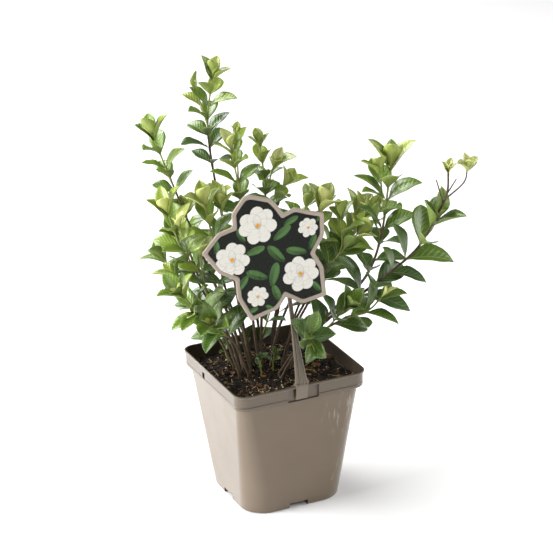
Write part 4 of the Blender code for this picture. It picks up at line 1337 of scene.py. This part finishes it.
def scatter_bits(name, count, make, material, seed, tilt, front):
    """Loose bits strewn over the bed, each with its own tone; front draws them to the front rim."""
    rng = random.Random(seed)
    mesh = bmesh.new()
    tone = mesh.verts.layers.float.new("tone")
    placed = 0
    while placed < count:
        x, y = rng.uniform(-BED_HALF, BED_HALF), rng.uniform(-BED_HALF, BED_HALF)
        back = (y + BED_HALF) / (2 * BED_HALF)
        if inside_pot(x, y, BED_HALF, BED_CORNER) < BED_FREE:
            continue
        if rng.random() < front * min(1.0, 4 * back):
            continue
        placed += 1
        points, lift = make(mesh, rng)
        turn = Matrix.Rotation(rng.uniform(0, math.tau), 4, "Z")
        turn = turn @ Matrix.Rotation(rng.gauss(0, tilt), 4, "X")
        lie = Matrix.Translation((x, y, bed_height(x, y) + lift)) @ turn
        lie = lie @ Matrix.Rotation(rng.gauss(0, tilt), 4, "Y")
        bmesh.ops.transform(mesh, matrix=lie, verts=points)
        shade = rng.random()
        for point in points:
            point[tone] = shade
    finish_piece(name, mesh, [material], "soil", smooth=False)


def bark_chip(mesh, rng):
    """A flat splinter with uneven corners."""
    size = rng.uniform(1.0, 2.7) * (2.0 if rng.random() < 0.07 else 1.0) * MM
    points = bmesh.ops.create_cube(mesh, size=1.0)["verts"]
    shape = Matrix.Diagonal((size * rng.uniform(1.0, 2.4), size, size * rng.uniform(0.25, 0.5)))
    for point in points:
        bump = Vector((rng.uniform(-1, 1), rng.uniform(-1, 1), rng.uniform(-0.6, 0.6)))
        point.co = shape @ point.co + bump * size * 0.22
    return points, size * 0.1


def grit_grain(mesh, rng):
    """A pale grain with blunt corners."""
    size = rng.uniform(0.6, 1.5) * MM
    points = bmesh.ops.create_icosphere(mesh, subdivisions=1, radius=size)["verts"]
    for point in points:
        point.co *= rng.uniform(0.75, 1.15)
    return points, size * 0.5


def pale_crumb(mesh, rng):
    """A crumb of husk, half the size of a grain."""
    points, lift = grit_grain(mesh, rng)
    for point in points:
        point.co *= Vector((0.7, 0.4, 0.35))
    return points, lift * 0.4


def straw_bit(mesh, rng):
    """A dry stalk, a few times longer than a chip and very thin."""
    length = rng.uniform(5, 15) * MM
    wide = rng.uniform(0.35, 0.7) * MM
    points = bmesh.ops.create_cone(mesh, cap_ends=True, segments=5, radius1=wide,
                                   radius2=wide * 0.6, depth=length,
                                   matrix=Matrix.Rotation(math.pi / 2, 4, "Y"))["verts"]
    return points, wide * 1.6


def root_thread(mesh, rng):
    """A fine pale root that curls over the bed."""
    reach = rng.uniform(2.5, 9) * MM
    ring = bmesh.ops.create_circle(mesh, segments=5, radius=rng.uniform(0.22, 0.45) * MM,
                                   matrix=Matrix.Rotation(math.pi / 2, 4, "X"))["verts"]
    edges = list({edge for point in ring for edge in point.link_edges})
    made = bmesh.ops.spin(mesh, geom=ring + edges, cent=(reach, 0, 0), axis=(0, 0, 1),
                          angle=rng.uniform(1.0, 3.6), steps=9, use_merge=False)["geom_last"]
    for end in (edges, only("BMEdge", made)):
        bmesh.ops.contextual_create(mesh, geom=end)
    points, fresh = set(ring), set(ring)
    while fresh:
        fresh = {edge.other_vert(point) for point in fresh for edge in point.link_edges} - points
        points |= fresh
    faces = list({face for point in points for face in point.link_faces})
    bmesh.ops.recalc_face_normals(mesh, faces=faces)
    return list(points), 0.5 * MM


# ---------------------------------------------------------------- label


def label_loop(mesh, inset, depth):
    """The edges of the label's outline, drawn in and set at a depth."""
    scratch = bmesh.new()
    face = label_face(scratch, depth * MM, inset * MM, segments=4)
    ring = [mesh.verts.new(corner.co) for corner in face.verts]
    scratch.free()
    return [mesh.edges.new(pair) for pair in zip(ring, ring[1:] + ring[:1])]


def make_label_frame(settings, plastic):
    """A rounded border round a sunk floor, on its stake and clip."""
    mesh = bmesh.new()
    border = LABEL_BORDER / MM
    half = LABEL_THICK / 2 / MM
    steps = [(0.7, half), (0.15, half - 0.35), (0, half - 0.9), (0, -half + 0.9),
             (0.25, -half + 0.35), (0.9, -half + 0.05), (1.8, -half - 0.1),
             (border - 1.9, -half - 0.1), (border - 0.9, -half + 0.1),
             (border - 0.2, -half + 0.5), (border, -half + LABEL_RECESS / MM)]
    loops = [label_loop(mesh, inset, depth) for inset, depth in steps]
    for before, after in zip(loops, loops[1:]):
        bmesh.ops.bridge_loops(mesh, edges=before + after)
    bmesh.ops.contextual_create(mesh, geom=loops[0])
    bmesh.ops.contextual_create(mesh, geom=loops[-1])
    settle(mesh, label_turn())
    finish_piece("label_border", mesh, [plastic], "label_frame", sharp=50)

    mesh = bmesh.new()
    make_stake(mesh)
    bmesh.ops.transform(mesh, matrix=label_turn(), verts=mesh.verts)
    make_clip(mesh)
    # The stake and clip take a darker copy of the label's plastic: painted shade.
    darker = plastic_material("label_stake", settings.stake_shaded_colour, settings.plastic_colour, 0.4,
                              bpy.data.node_groups["Moulded Skin"], 0.6)
    stake = finish_piece("label_stake", mesh, [darker], "label_frame", sharp=30)
    soften(stake, settings.edge_round * 0.6, 40)


def make_stake(mesh):
    """A channel with two ribs in it, drawn upwards and narrower at each stop."""
    front, back = -STAKE_DEPTH / 2, STAKE_DEPTH / 2
    floor = back - STAKE_WALL
    shares = (-1, -0.8, -0.72, -0.34, -0.26, -0.14, -0.06, 0.28, 0.36, 0.48, 0.56, 0.78, 0.84, 1)
    depths = (front, front, floor, floor, front + 0.9 * MM, front + 0.9 * MM, floor,
              floor, front + 0.9 * MM, front + 0.9 * MM, floor, floor, front, front)
    height, width = STAKE_WIDTHS[0]
    section = [(share * width / 2 * MM, depth) for share, depth in zip(shares, depths)]
    section += [(width / 2 * MM, back), (-width / 2 * MM, back)]
    face = mesh.faces.new([mesh.verts.new((x, y, height * MM)) for x, y in section])
    for above, wide in STAKE_WIDTHS[1:]:
        face = extrude_by(mesh, face, Vector((0, 0, (above - height) * MM)))
        bmesh.ops.scale(mesh, vec=(wide / width, 1, 1), verts=face.verts[:])
        height, width = above, wide
    settle(mesh)


def make_clip(mesh):
    """The band that grips the pot's lip, with a rounded bend over it."""
    left = LABEL_PLACE.x - CLIP_WIDTH / 2
    line = [mesh.verts.new((left, y * MM, z * MM)) for y, z in CLIP_ROUTE]
    edges = [mesh.edges.new(pair) for pair in zip(line, line[1:])]
    band = bmesh.ops.extrude_edge_only(mesh, edges=edges)["geom"]
    bmesh.ops.translate(mesh, vec=(CLIP_WIDTH, 0, 0), verts=only("BMVert", band))
    faces = only("BMFace", band)
    bmesh.ops.recalc_face_normals(mesh, faces=faces)
    bmesh.ops.solidify(mesh, geom=faces, thickness=CLIP_THICK)


def flat_disc(mesh, place, wide, long, turn, depth, tone_layer, tone, material, edge=0.0):
    """A thin oval on the printed sheet, lighter towards its far end and darker at its edge."""
    rim = bmesh.ops.create_circle(mesh, segments=14, radius=1.0)["verts"]
    edges = list({line for point in rim for line in point.link_edges})
    made = bmesh.ops.extrude_edge_only(mesh, edges=edges)["geom"]
    inner = only("BMVert", made)
    for point in inner:
        point.co *= 0.8
    bmesh.ops.contextual_create(mesh, geom=[edge for edge in only("BMEdge", made)
                                            if all(end in inner for end in edge.verts)])
    points = rim + inner
    for point in points:
        shade = tone + 0.22 * point.co.y - (edge if point in rim else 0.0)
        point[tone_layer] = min(1.0, max(0.0, shade))
        taper = 1 - 0.25 * max(0.0, -point.co.y)
        point.co = Vector((point.co.x * wide * taper, 0, point.co.y * long))
    for face in {face for point in points for face in point.link_faces}:
        face.material_index = material
    lie = Matrix.Translation((place[0], depth, place[1])) @ Matrix.Rotation(turn, 4, "Y")
    bmesh.ops.transform(mesh, matrix=lie, verts=points)


def print_blossom(mesh, layer, middle, radius, seed):
    """A full round blossom: three rings of round petals and a small heart."""
    rng = random.Random(seed)
    front = PRINT_FRONT - 0.03 * MM
    for ring, (count, reach, wide) in enumerate(PETAL_RINGS):
        for number in range(count):
            turn = math.tau * (number + 0.5 * ring) / count + rng.uniform(-0.12, 0.12)
            place = (middle[0] + math.sin(turn) * reach * radius,
                     middle[1] + math.cos(turn) * reach * radius)
            front -= 0.012 * MM
            flat_disc(mesh, place, radius * wide, radius * 0.38, turn, front, layer,
                      rng.uniform(0.7, 0.9) - 0.06 * ring, PRINT_PETAL, 0.42)
    for number in range(7):
        turn = math.tau * number / 7
        reach = radius * 0.07
        place = (middle[0] + math.sin(turn) * reach, middle[1] + math.cos(turn) * reach)
        front -= 0.008 * MM
        flat_disc(mesh, place, radius * 0.035, radius * 0.07, turn, front, layer,
                  rng.uniform(0.3, 0.8), PRINT_HEART)


def print_leaf(mesh, layer, place, length, turn, seed):
    """A pointed leaf: two ovals, the light one for the lit half."""
    rng = random.Random(seed)
    depth = PRINT_FRONT - (0.01 + 0.004 * (seed % 3)) * MM
    flat_disc(mesh, place, length * 0.2, length / 2, turn, depth, layer,
              rng.uniform(0.2, 0.5), PRINT_SPRIG)
    aside = Matrix.Rotation(-turn, 2) @ Vector((length * 0.07, 0))
    flat_disc(mesh, (place[0] + aside.x, place[1] + aside.y), length * 0.09, length * 0.42, turn,
              depth - 0.006 * MM, layer, rng.uniform(0.6, 0.8), PRINT_SPRIG)
    flat_disc(mesh, place, length * 0.012, length * 0.46, turn, depth - 0.012 * MM, layer,
              1.0, PRINT_SPRIG)


def make_label_print(settings):
    """A dark sheet with full white blossoms among leaves, laid into the frame."""
    mesh = bmesh.new()
    edges = label_loop(mesh, (LABEL_BORDER + GAP) / MM, (PRINT_FRONT + PRINT_THICK) / MM)
    face = bmesh.ops.contextual_create(mesh, geom=edges)["faces"][0]
    extrude_by(mesh, face, Vector((0, -PRINT_THICK, 0)))
    settle(mesh, label_turn())
    sheet = print_material("print_ground", settings.ground_colour,
                           tint(settings.ground_colour, 2.4), 0.3)
    finish_piece("label_sheet", mesh, [sheet], "label_print", smooth=False)

    mesh = bmesh.new()
    layer = mesh.verts.layers.float.new("tone")
    for seed, (across, up, length, turn) in enumerate(SPRIGS):
        print_leaf(mesh, layer, (across * MM, up * MM), length * MM, math.radians(turn), seed)
    for seed, (across, up, radius) in enumerate(BLOSSOMS):
        print_blossom(mesh, layer, (across * MM, up * MM), radius * MM, seed)
    settle(mesh)
    for face in mesh.faces:
        if face.normal.y > 0:
            face.normal_flip()
    bmesh.ops.transform(mesh, matrix=label_turn(), verts=mesh.verts)
    petal, heart, sprig = settings.petal_colour, settings.heart_colour, settings.sprig_colour
    inks = [print_material("print_petals", tint(petal, 0.5), petal, 0.3),
            print_material("print_hearts", tint(heart, 0.45), heart, 0.3),
            print_material("print_leaves", tint(sprig, 0.4), tint(sprig, 2.2), 0.3)]
    finish_piece("label_blossoms", mesh, inks, "label_print", smooth=False)


# ---------------------------------------------------------------- canes and leaves


def green_share(route, along, brown):
    """From 0 on old wood to 1 at a green tip."""
    left = route.length - along
    return max(0.0, min(1.0, 1 - (left - 12 * MM) / (110 * MM))) * (0.35 if brown else 1.0)


def fine_lines(shoots, routes):
    """The routes of one stem again, in short pieces."""
    return [Route(shoot._replace(points=[route.stops[0] / MM] + shoot.points[1:]), LINE_STEP)
            for shoot, route in zip(shoots, routes)]


def make_cane(name, shoots, routes, leaves, settings, bark):
    """A cane with its side shoots, swollen where its leaves stand, and tip buds."""
    mesh = bmesh.new()
    mesh.verts.layers.float.new("green")
    lines = fine_lines(shoots, routes)
    for number, (shoot, route, line) in enumerate(zip(shoots, routes, lines)):
        longer = line.length / route.length
        joints = [distance * longer for _, branch, distance in leaves if branch == number]
        radii = []
        for mark, radius in zip(line.marks, line.radii):
            near = max([math.exp(-((mark - joint) / JOINT_REACH) ** 2) for joint in joints],
                       default=0.0)
            radii.append(radius * (1 + settings.joint_swell * near) * CANE_SHARE)
        stops = line.stops
        if number == 0:
            stops = [stops[0] - Vector((0, 0, 12 * MM))] + stops
            radii = [radii[0] * 1.1] + radii
        part = tube(name, stops, radii, roundness=2)
        layer = part.verts.layers.float.new("green")
        tree = kdtree.KDTree(len(line.stops))
        for index, stop in enumerate(line.stops):
            tree.insert(stop, index)
        tree.balance()
        for point in part.verts:
            mark = line.marks[tree.find(point.co)[1]]
            point[layer] = green_share(line, mark, name == "stem_far_right")
        if shoot.bare < 1:
            tip, heading = line.at(line.length - 0.5 * MM)
            turn = heading.to_track_quat("Z", "X").to_matrix().to_4x4()
            turn = Matrix.Translation(tip + heading * 2.4 * MM) @ turn
            bud = bmesh.ops.create_cone(part, cap_ends=True, segments=8,
                                        radius1=line.radii[-1] * 1.15,
                                        radius2=line.radii[-1] * 0.25,
                                        depth=5 * MM, matrix=turn)["verts"]
            for point in bud:
                point[layer] = 1.0
        scratch = bpy.data.meshes.new("part")
        part.to_mesh(scratch)
        part.free()
        mesh.from_mesh(scratch)
        bpy.data.meshes.remove(scratch)
    finish_piece("cane_" + name.removeprefix("stem_"), mesh, [bark], name)


def ripeness(leaf, name, branch):
    """Colour of a leaf from 0, fresh, to 1, old: leaves low in the plant are given riper, darker
    colours, partly for their age and partly as painted shade.
    """
    if name == "stem_far_right" and branch:
        return 0.0
    # Partly painted shade: lower leaves take riper, darker colours.
    low = min(1.0, max(0.0, (RIPE_AND_SHADED_TOP - leaf.root.z) / RIPE_AND_SHADED_DEPTH))
    ripe = max(leaf.age, 0.8 * low, LEAST_RIPE.get(name, 0.0))
    return YOUNG_AT + (1 - YOUNG_AT) * ripe


def fine_outline(share):
    """Half width of a finished blade: the plain solid's oval, drawn out to a point."""
    return outline(share, 4.25, 1.12, 1.0)


def bend_blade(mesh, leaf, shift, rng, layers, wave, ripe):
    """The upper face of one leaf: a grid bent to the blade, with map, age and tone."""
    uv, age_layer, tone_layer = layers
    points = bmesh.ops.create_grid(mesh, x_segments=BLADE_CELLS[0], y_segments=BLADE_CELLS[1],
                                   size=1.0)["verts"]
    phase, waves, tone = rng.uniform(0, math.tau), rng.uniform(1.4, 2.6), rng.random()
    swerve = rng.gauss(0, 0.05) * leaf.length
    dip = rng.uniform(-0.02, 0.06) * leaf.length
    places = {}
    for point in points:
        side = -point.co.x
        even = (point.co.y + 1) / 2
        share = 0.5 * even + 0.5 * (0.5 - 0.5 * math.cos(math.pi * even))
        reach = fine_outline(share) / outline(share) if share < 1 else 1.0
        places[point] = (0.5 + 0.5 * side * min(1.0, fine_outline(share)), share)
        bow = abs(side) ** 1.4 - abs(side)
        half = leaf.width / 2 * outline(share)
        swing = math.sin(phase + math.tau * waves * share + (0.9 if side < 0 else 0))
        ripple = wave * swing * abs(side) ** 1.6 * min(1.0, outline(share))
        lift = half * bow * math.sin(leaf.fold) + ripple - dip * share ** 3
        aside = leaf.across * swerve * share * share
        point.co = blade_point(leaf, share, side * reach, lift) + shift + aside
        point[age_layer] = ripe
        point[tone_layer] = tone
    for face in {face for point in points for face in point.link_faces}:
        for loop in face.loops:
            loop[uv].uv = places[loop.vert]


def make_foliage(name, shoots, routes, leaves, settings, materials):
    """All leaves of one stem as one piece, each a thin sheet with two faces."""
    rng = random.Random("blades " + name)
    mesh = bmesh.new()
    layers = (mesh.loops.layers.uv.new("blade"), mesh.verts.layers.float.new("age"),
              mesh.verts.layers.float.new("tone"))
    lines = fine_lines(shoots, routes)
    for leaf, branch, distance in leaves:
        line = lines[branch]
        root, _ = line.at(distance * line.length / routes[branch].length)
        leaf = leaf._replace(width=leaf.width * settings.breadth)
        bend_blade(mesh, leaf, root - leaf.root, rng, layers, settings.wave,
                   ripeness(leaf, name, branch))
    for branch, (shoot, line) in enumerate(zip(shoots, lines)):
        for number in range(2 if shoot.bare < 1 and shoot.high > 16 else 0):
            root, heading = line.at(line.length - 0.6 * MM)
            turn = math.radians(shoot.turn) + math.pi * (number + 0.5)
            fresh = make_leaf(root, heading, turn, math.radians(11), shoot.high * 0.5 * MM,
                              rng, 0.0)
            fresh = fresh._replace(width=fresh.width * 0.75, fold=0.75)
            bend_blade(mesh, fresh, Vector((0, 0, 0)), rng, layers, 0.0, 0.07)
    bmesh.ops.remove_doubles(mesh, verts=mesh.verts, dist=0.02 * MM)
    foliage = finish_piece("leaves_" + name.removeprefix("stem_"), mesh, materials, name)
    body = foliage.modifiers.new("thickness", "SOLIDIFY")
    body.thickness = settings.thickness
    body.offset = -1
    body.material_offset = 1
    body.material_offset_rim = 1


# ---------------------------------------------------------------- operators


class GARDENIA_OT_add_pot(bpy.types.Operator):
    """Add the square nursery pot with its notches, drains and recess"""
    bl_idname = "gardenia.add_pot"
    bl_label = "Add Pot"
    bl_options = {"REGISTER", "UNDO"}

    def execute(self, context):
        make_pot(context.scene.gardenia_pot)
        return {"FINISHED"}


class GARDENIA_OT_add_compost(bpy.types.Operator):
    """Add the compost with its loose bark, grit and straw"""
    bl_idname = "gardenia.add_compost"
    bl_label = "Add Compost"
    bl_options = {"REGISTER", "UNDO"}

    def execute(self, context):
        settings = context.scene.gardenia_compost
        dark = settings.compost_colour
        make_compost(settings)
        bark = litter_material("bark_chips", tint(dark, 0.7), settings.bark_chip_colour, 0.85, 0.82)
        pale, dry = settings.grit_colour, settings.straw_colour
        grit = litter_material("mineral_grit", tint(pale, 0.55), pale, 0.9)
        straw = litter_material("dry_straw", tint(dry, 0.35), dry, 0.8)
        # Name, count, maker, material, seed, tilt and how strongly they keep to the front
        for bits in (("bark_chips", settings.chip_count, bark_chip, bark, 11, 0.3, 0.0),
                     ("grit_grains", 110, grit_grain, grit, 12, 0.3, 0.97),
                     ("pale_crumbs", 420, pale_crumb, grit, 15, 0.4, 0.5),
                     ("straw_bits", 60, straw_bit, straw, 13, 0.3, 0.0),
                     ("root_threads", 60, root_thread, straw, 14, 0.08, 0.0)):
            scatter_bits(*bits)
        return {"FINISHED"}


class GARDENIA_OT_add_label(bpy.types.Operator):
    """Add the plant label: frame, stake, clip and printed sheet"""
    bl_idname = "gardenia.add_label"
    bl_label = "Add Label"
    bl_options = {"REGISTER", "UNDO"}

    def execute(self, context):
        settings = context.scene.gardenia_label
        group = bpy.data.node_groups["Moulded Skin"]
        colour = settings.plastic_colour
        light = [min(1.0, part * 1.4) for part in colour]
        plastic = plastic_material("label_plastic", colour, light, 0.42, group, 0.3)
        make_label_frame(settings, plastic)
        make_label_print(settings)
        return {"FINISHED"}


class GARDENIA_OT_grow_plant(bpy.types.Operator):
    """Grow every cane with its side shoots and leaves"""
    bl_idname = "gardenia.grow_plant"
    bl_label = "Grow Plant"
    bl_options = {"REGISTER", "UNDO"}

    def execute(self, context):
        leafy = context.scene.gardenia_leaves
        woody = context.scene.gardenia_stems
        veins = leaf_veins_group()
        blades = [leaf_material("leaf_upper", leafy, veins),
                  leaf_material("leaf_lower", leafy, veins, True)]
        bark = bark_material(woody)
        for name, (routes, leaves) in plan_plant().items():
            make_cane(name, STEMS[name], routes, leaves, woody, bark)
            make_foliage(name, STEMS[name], routes, leaves, leafy, blades)
        return {"FINISHED"}


class GARDENIA_OT_set_stage(bpy.types.Operator):
    """Set the pale floor, the soft lights and the camera"""
    bl_idname = "gardenia.set_stage"
    bl_label = "Set Stage"
    bl_options = {"REGISTER", "UNDO"}

    def execute(self, context):
        settings = context.scene.gardenia_stage
        make_floor(settings)
        for light in LIGHTS:
            add_soft_light(*light)
        world = bpy.data.worlds.new("studio_air")
        world.use_nodes = True
        air = world.node_tree.nodes["Background"].inputs
        air["Color"].default_value = (1, 1, 1, 1)
        air["Strength"].default_value = AIR_LIGHT
        context.scene.world = world
        context.scene.view_settings.view_transform = "Standard"
        context.scene.view_settings.look = "None"
        aim_camera(context.scene, settings)
        return {"FINISHED"}


# Name, place, height of the point it shines on, width in metres and power in watts
LIGHTS = (
    ("light_left", (-2.4, 0.35, 1.2), 0.22, 1.6, 118),
    ("light_back", (-0.9, 2.2, 2.3), 0.25, 2.4, 126),
    ("light_front", (-0.2, -2.5, 2.0), 0.25, 1.6, 31),
    ("light_right", (2.3, -0.9, 1.5), 0.25, 2.0, 44),
)
AIR_LIGHT = 0.13
LENS, SENSOR = 154.6, 36                    # millimetres
FLOOR_RADIUS = 9.0
VIEW_END = 50                               # metres


def make_floor(settings):
    """A wide pale floor under the pot."""
    mesh = bmesh.new()
    bmesh.ops.create_circle(mesh, cap_ends=True, segments=64, radius=FLOOR_RADIUS)
    floor = add_mesh("floor", mesh)
    material, tree, shader = new_material("studio_floor", Roughness=0.9)
    soft = noise_map(tree, (0, 0), place_of(tree, (-1, 0)), 1.5, 2.0)
    pale = settings.floor_colour
    shade = colour_ramp(tree, (1, 0), soft, (0.3, tint(pale, 0.985)), (0.7, pale))
    feed(tree, shader, Base_Color=shade)
    floor.data.materials.append(material)


def add_soft_light(name, place, aim, size, power):
    """A round lamp that shines on a point over the pot's middle."""
    light = bpy.data.lights.new(name, "AREA")
    light.shape = "DISK"
    light.size = size
    light.energy = power
    item = add_item(name, light)
    item.location = place
    item.rotation_euler = (Vector((0, 0, aim)) - Vector(place)).to_track_quat("-Z", "Y").to_euler()


def aim_camera(scene, settings):
    """A camera that looks down a little on the corner between the front and the left side."""
    azimuth, elevation = settings.camera_azimuth, settings.camera_elevation
    right = Vector((math.cos(azimuth), math.sin(azimuth), 0))
    back = Vector((math.sin(azimuth) * math.cos(elevation),
                   -math.cos(azimuth) * math.cos(elevation), math.sin(elevation)))
    target = Vector((0, 0, settings.target_height)) + right * settings.target_offset
    lens = bpy.data.cameras.new("studio_camera")
    lens.lens = LENS
    lens.sensor_width = SENSOR
    lens.clip_end = VIEW_END
    camera = add_item("studio_camera", lens)
    turn = Matrix((right, back.cross(right), back)).transposed().to_4x4()
    camera.matrix_world = (Matrix.Translation(target + back * settings.camera_distance) @ turn
                           @ Matrix.Rotation(-settings.camera_roll, 4, "Z"))
    scene.camera = camera


class GARDENIA_PT_sidebar(bpy.types.Panel):
    """The pieces of the potted gardenia and their sizes and colours"""
    bl_idname = "GARDENIA_PT_sidebar"
    bl_label = "Potted Gardenia"
    bl_space_type = "VIEW_3D"
    bl_region_type = "UI"
    bl_category = "Gardenia"

    def draw(self, context):
        for operator, group in STEPS:
            box = self.layout.box()
            box.operator(operator.bl_idname)
            for source in group:
                settings = getattr(context.scene, source)
                for key in settings.__annotations__:
                    box.prop(settings, key)

SETTINGS = {
    "gardenia_pot": GardeniaPotSettings,
    "gardenia_compost": GardeniaCompostSettings,
    "gardenia_label": GardeniaLabelSettings,
    "gardenia_leaves": GardeniaLeafSettings,
    "gardenia_stems": GardeniaStemSettings,
    "gardenia_stage": GardeniaStageSettings,
}
STEPS = (
    (GARDENIA_OT_add_pot, ["gardenia_pot"]),
    (GARDENIA_OT_add_compost, ["gardenia_compost"]),
    (GARDENIA_OT_add_label, ["gardenia_label"]),
    (GARDENIA_OT_grow_plant, ["gardenia_stems", "gardenia_leaves"]),
    (GARDENIA_OT_set_stage, ["gardenia_stage"]),
)


def register():
    for key, group in SETTINGS.items():
        bpy.utils.register_class(group)
        setattr(bpy.types.Scene, key, bpy.props.PointerProperty(type=group))
    for operator, _ in STEPS:
        bpy.utils.register_class(operator)
    bpy.utils.register_class(GARDENIA_PT_sidebar)


def unregister():
    bpy.utils.unregister_class(GARDENIA_PT_sidebar)
    for operator, _ in reversed(STEPS):
        bpy.utils.unregister_class(operator)
    for key, group in reversed(SETTINGS.items()):
        delattr(bpy.types.Scene, key)
        bpy.utils.unregister_class(group)


def main():
    register()
    bpy.ops.gardenia.add_pot()
    bpy.ops.gardenia.add_compost()
    bpy.ops.gardenia.add_label()
    bpy.ops.gardenia.grow_plant()
    bpy.ops.gardenia.set_stage()
    bpy.context.view_layer.update()


if __name__ == "__main__":
    main()
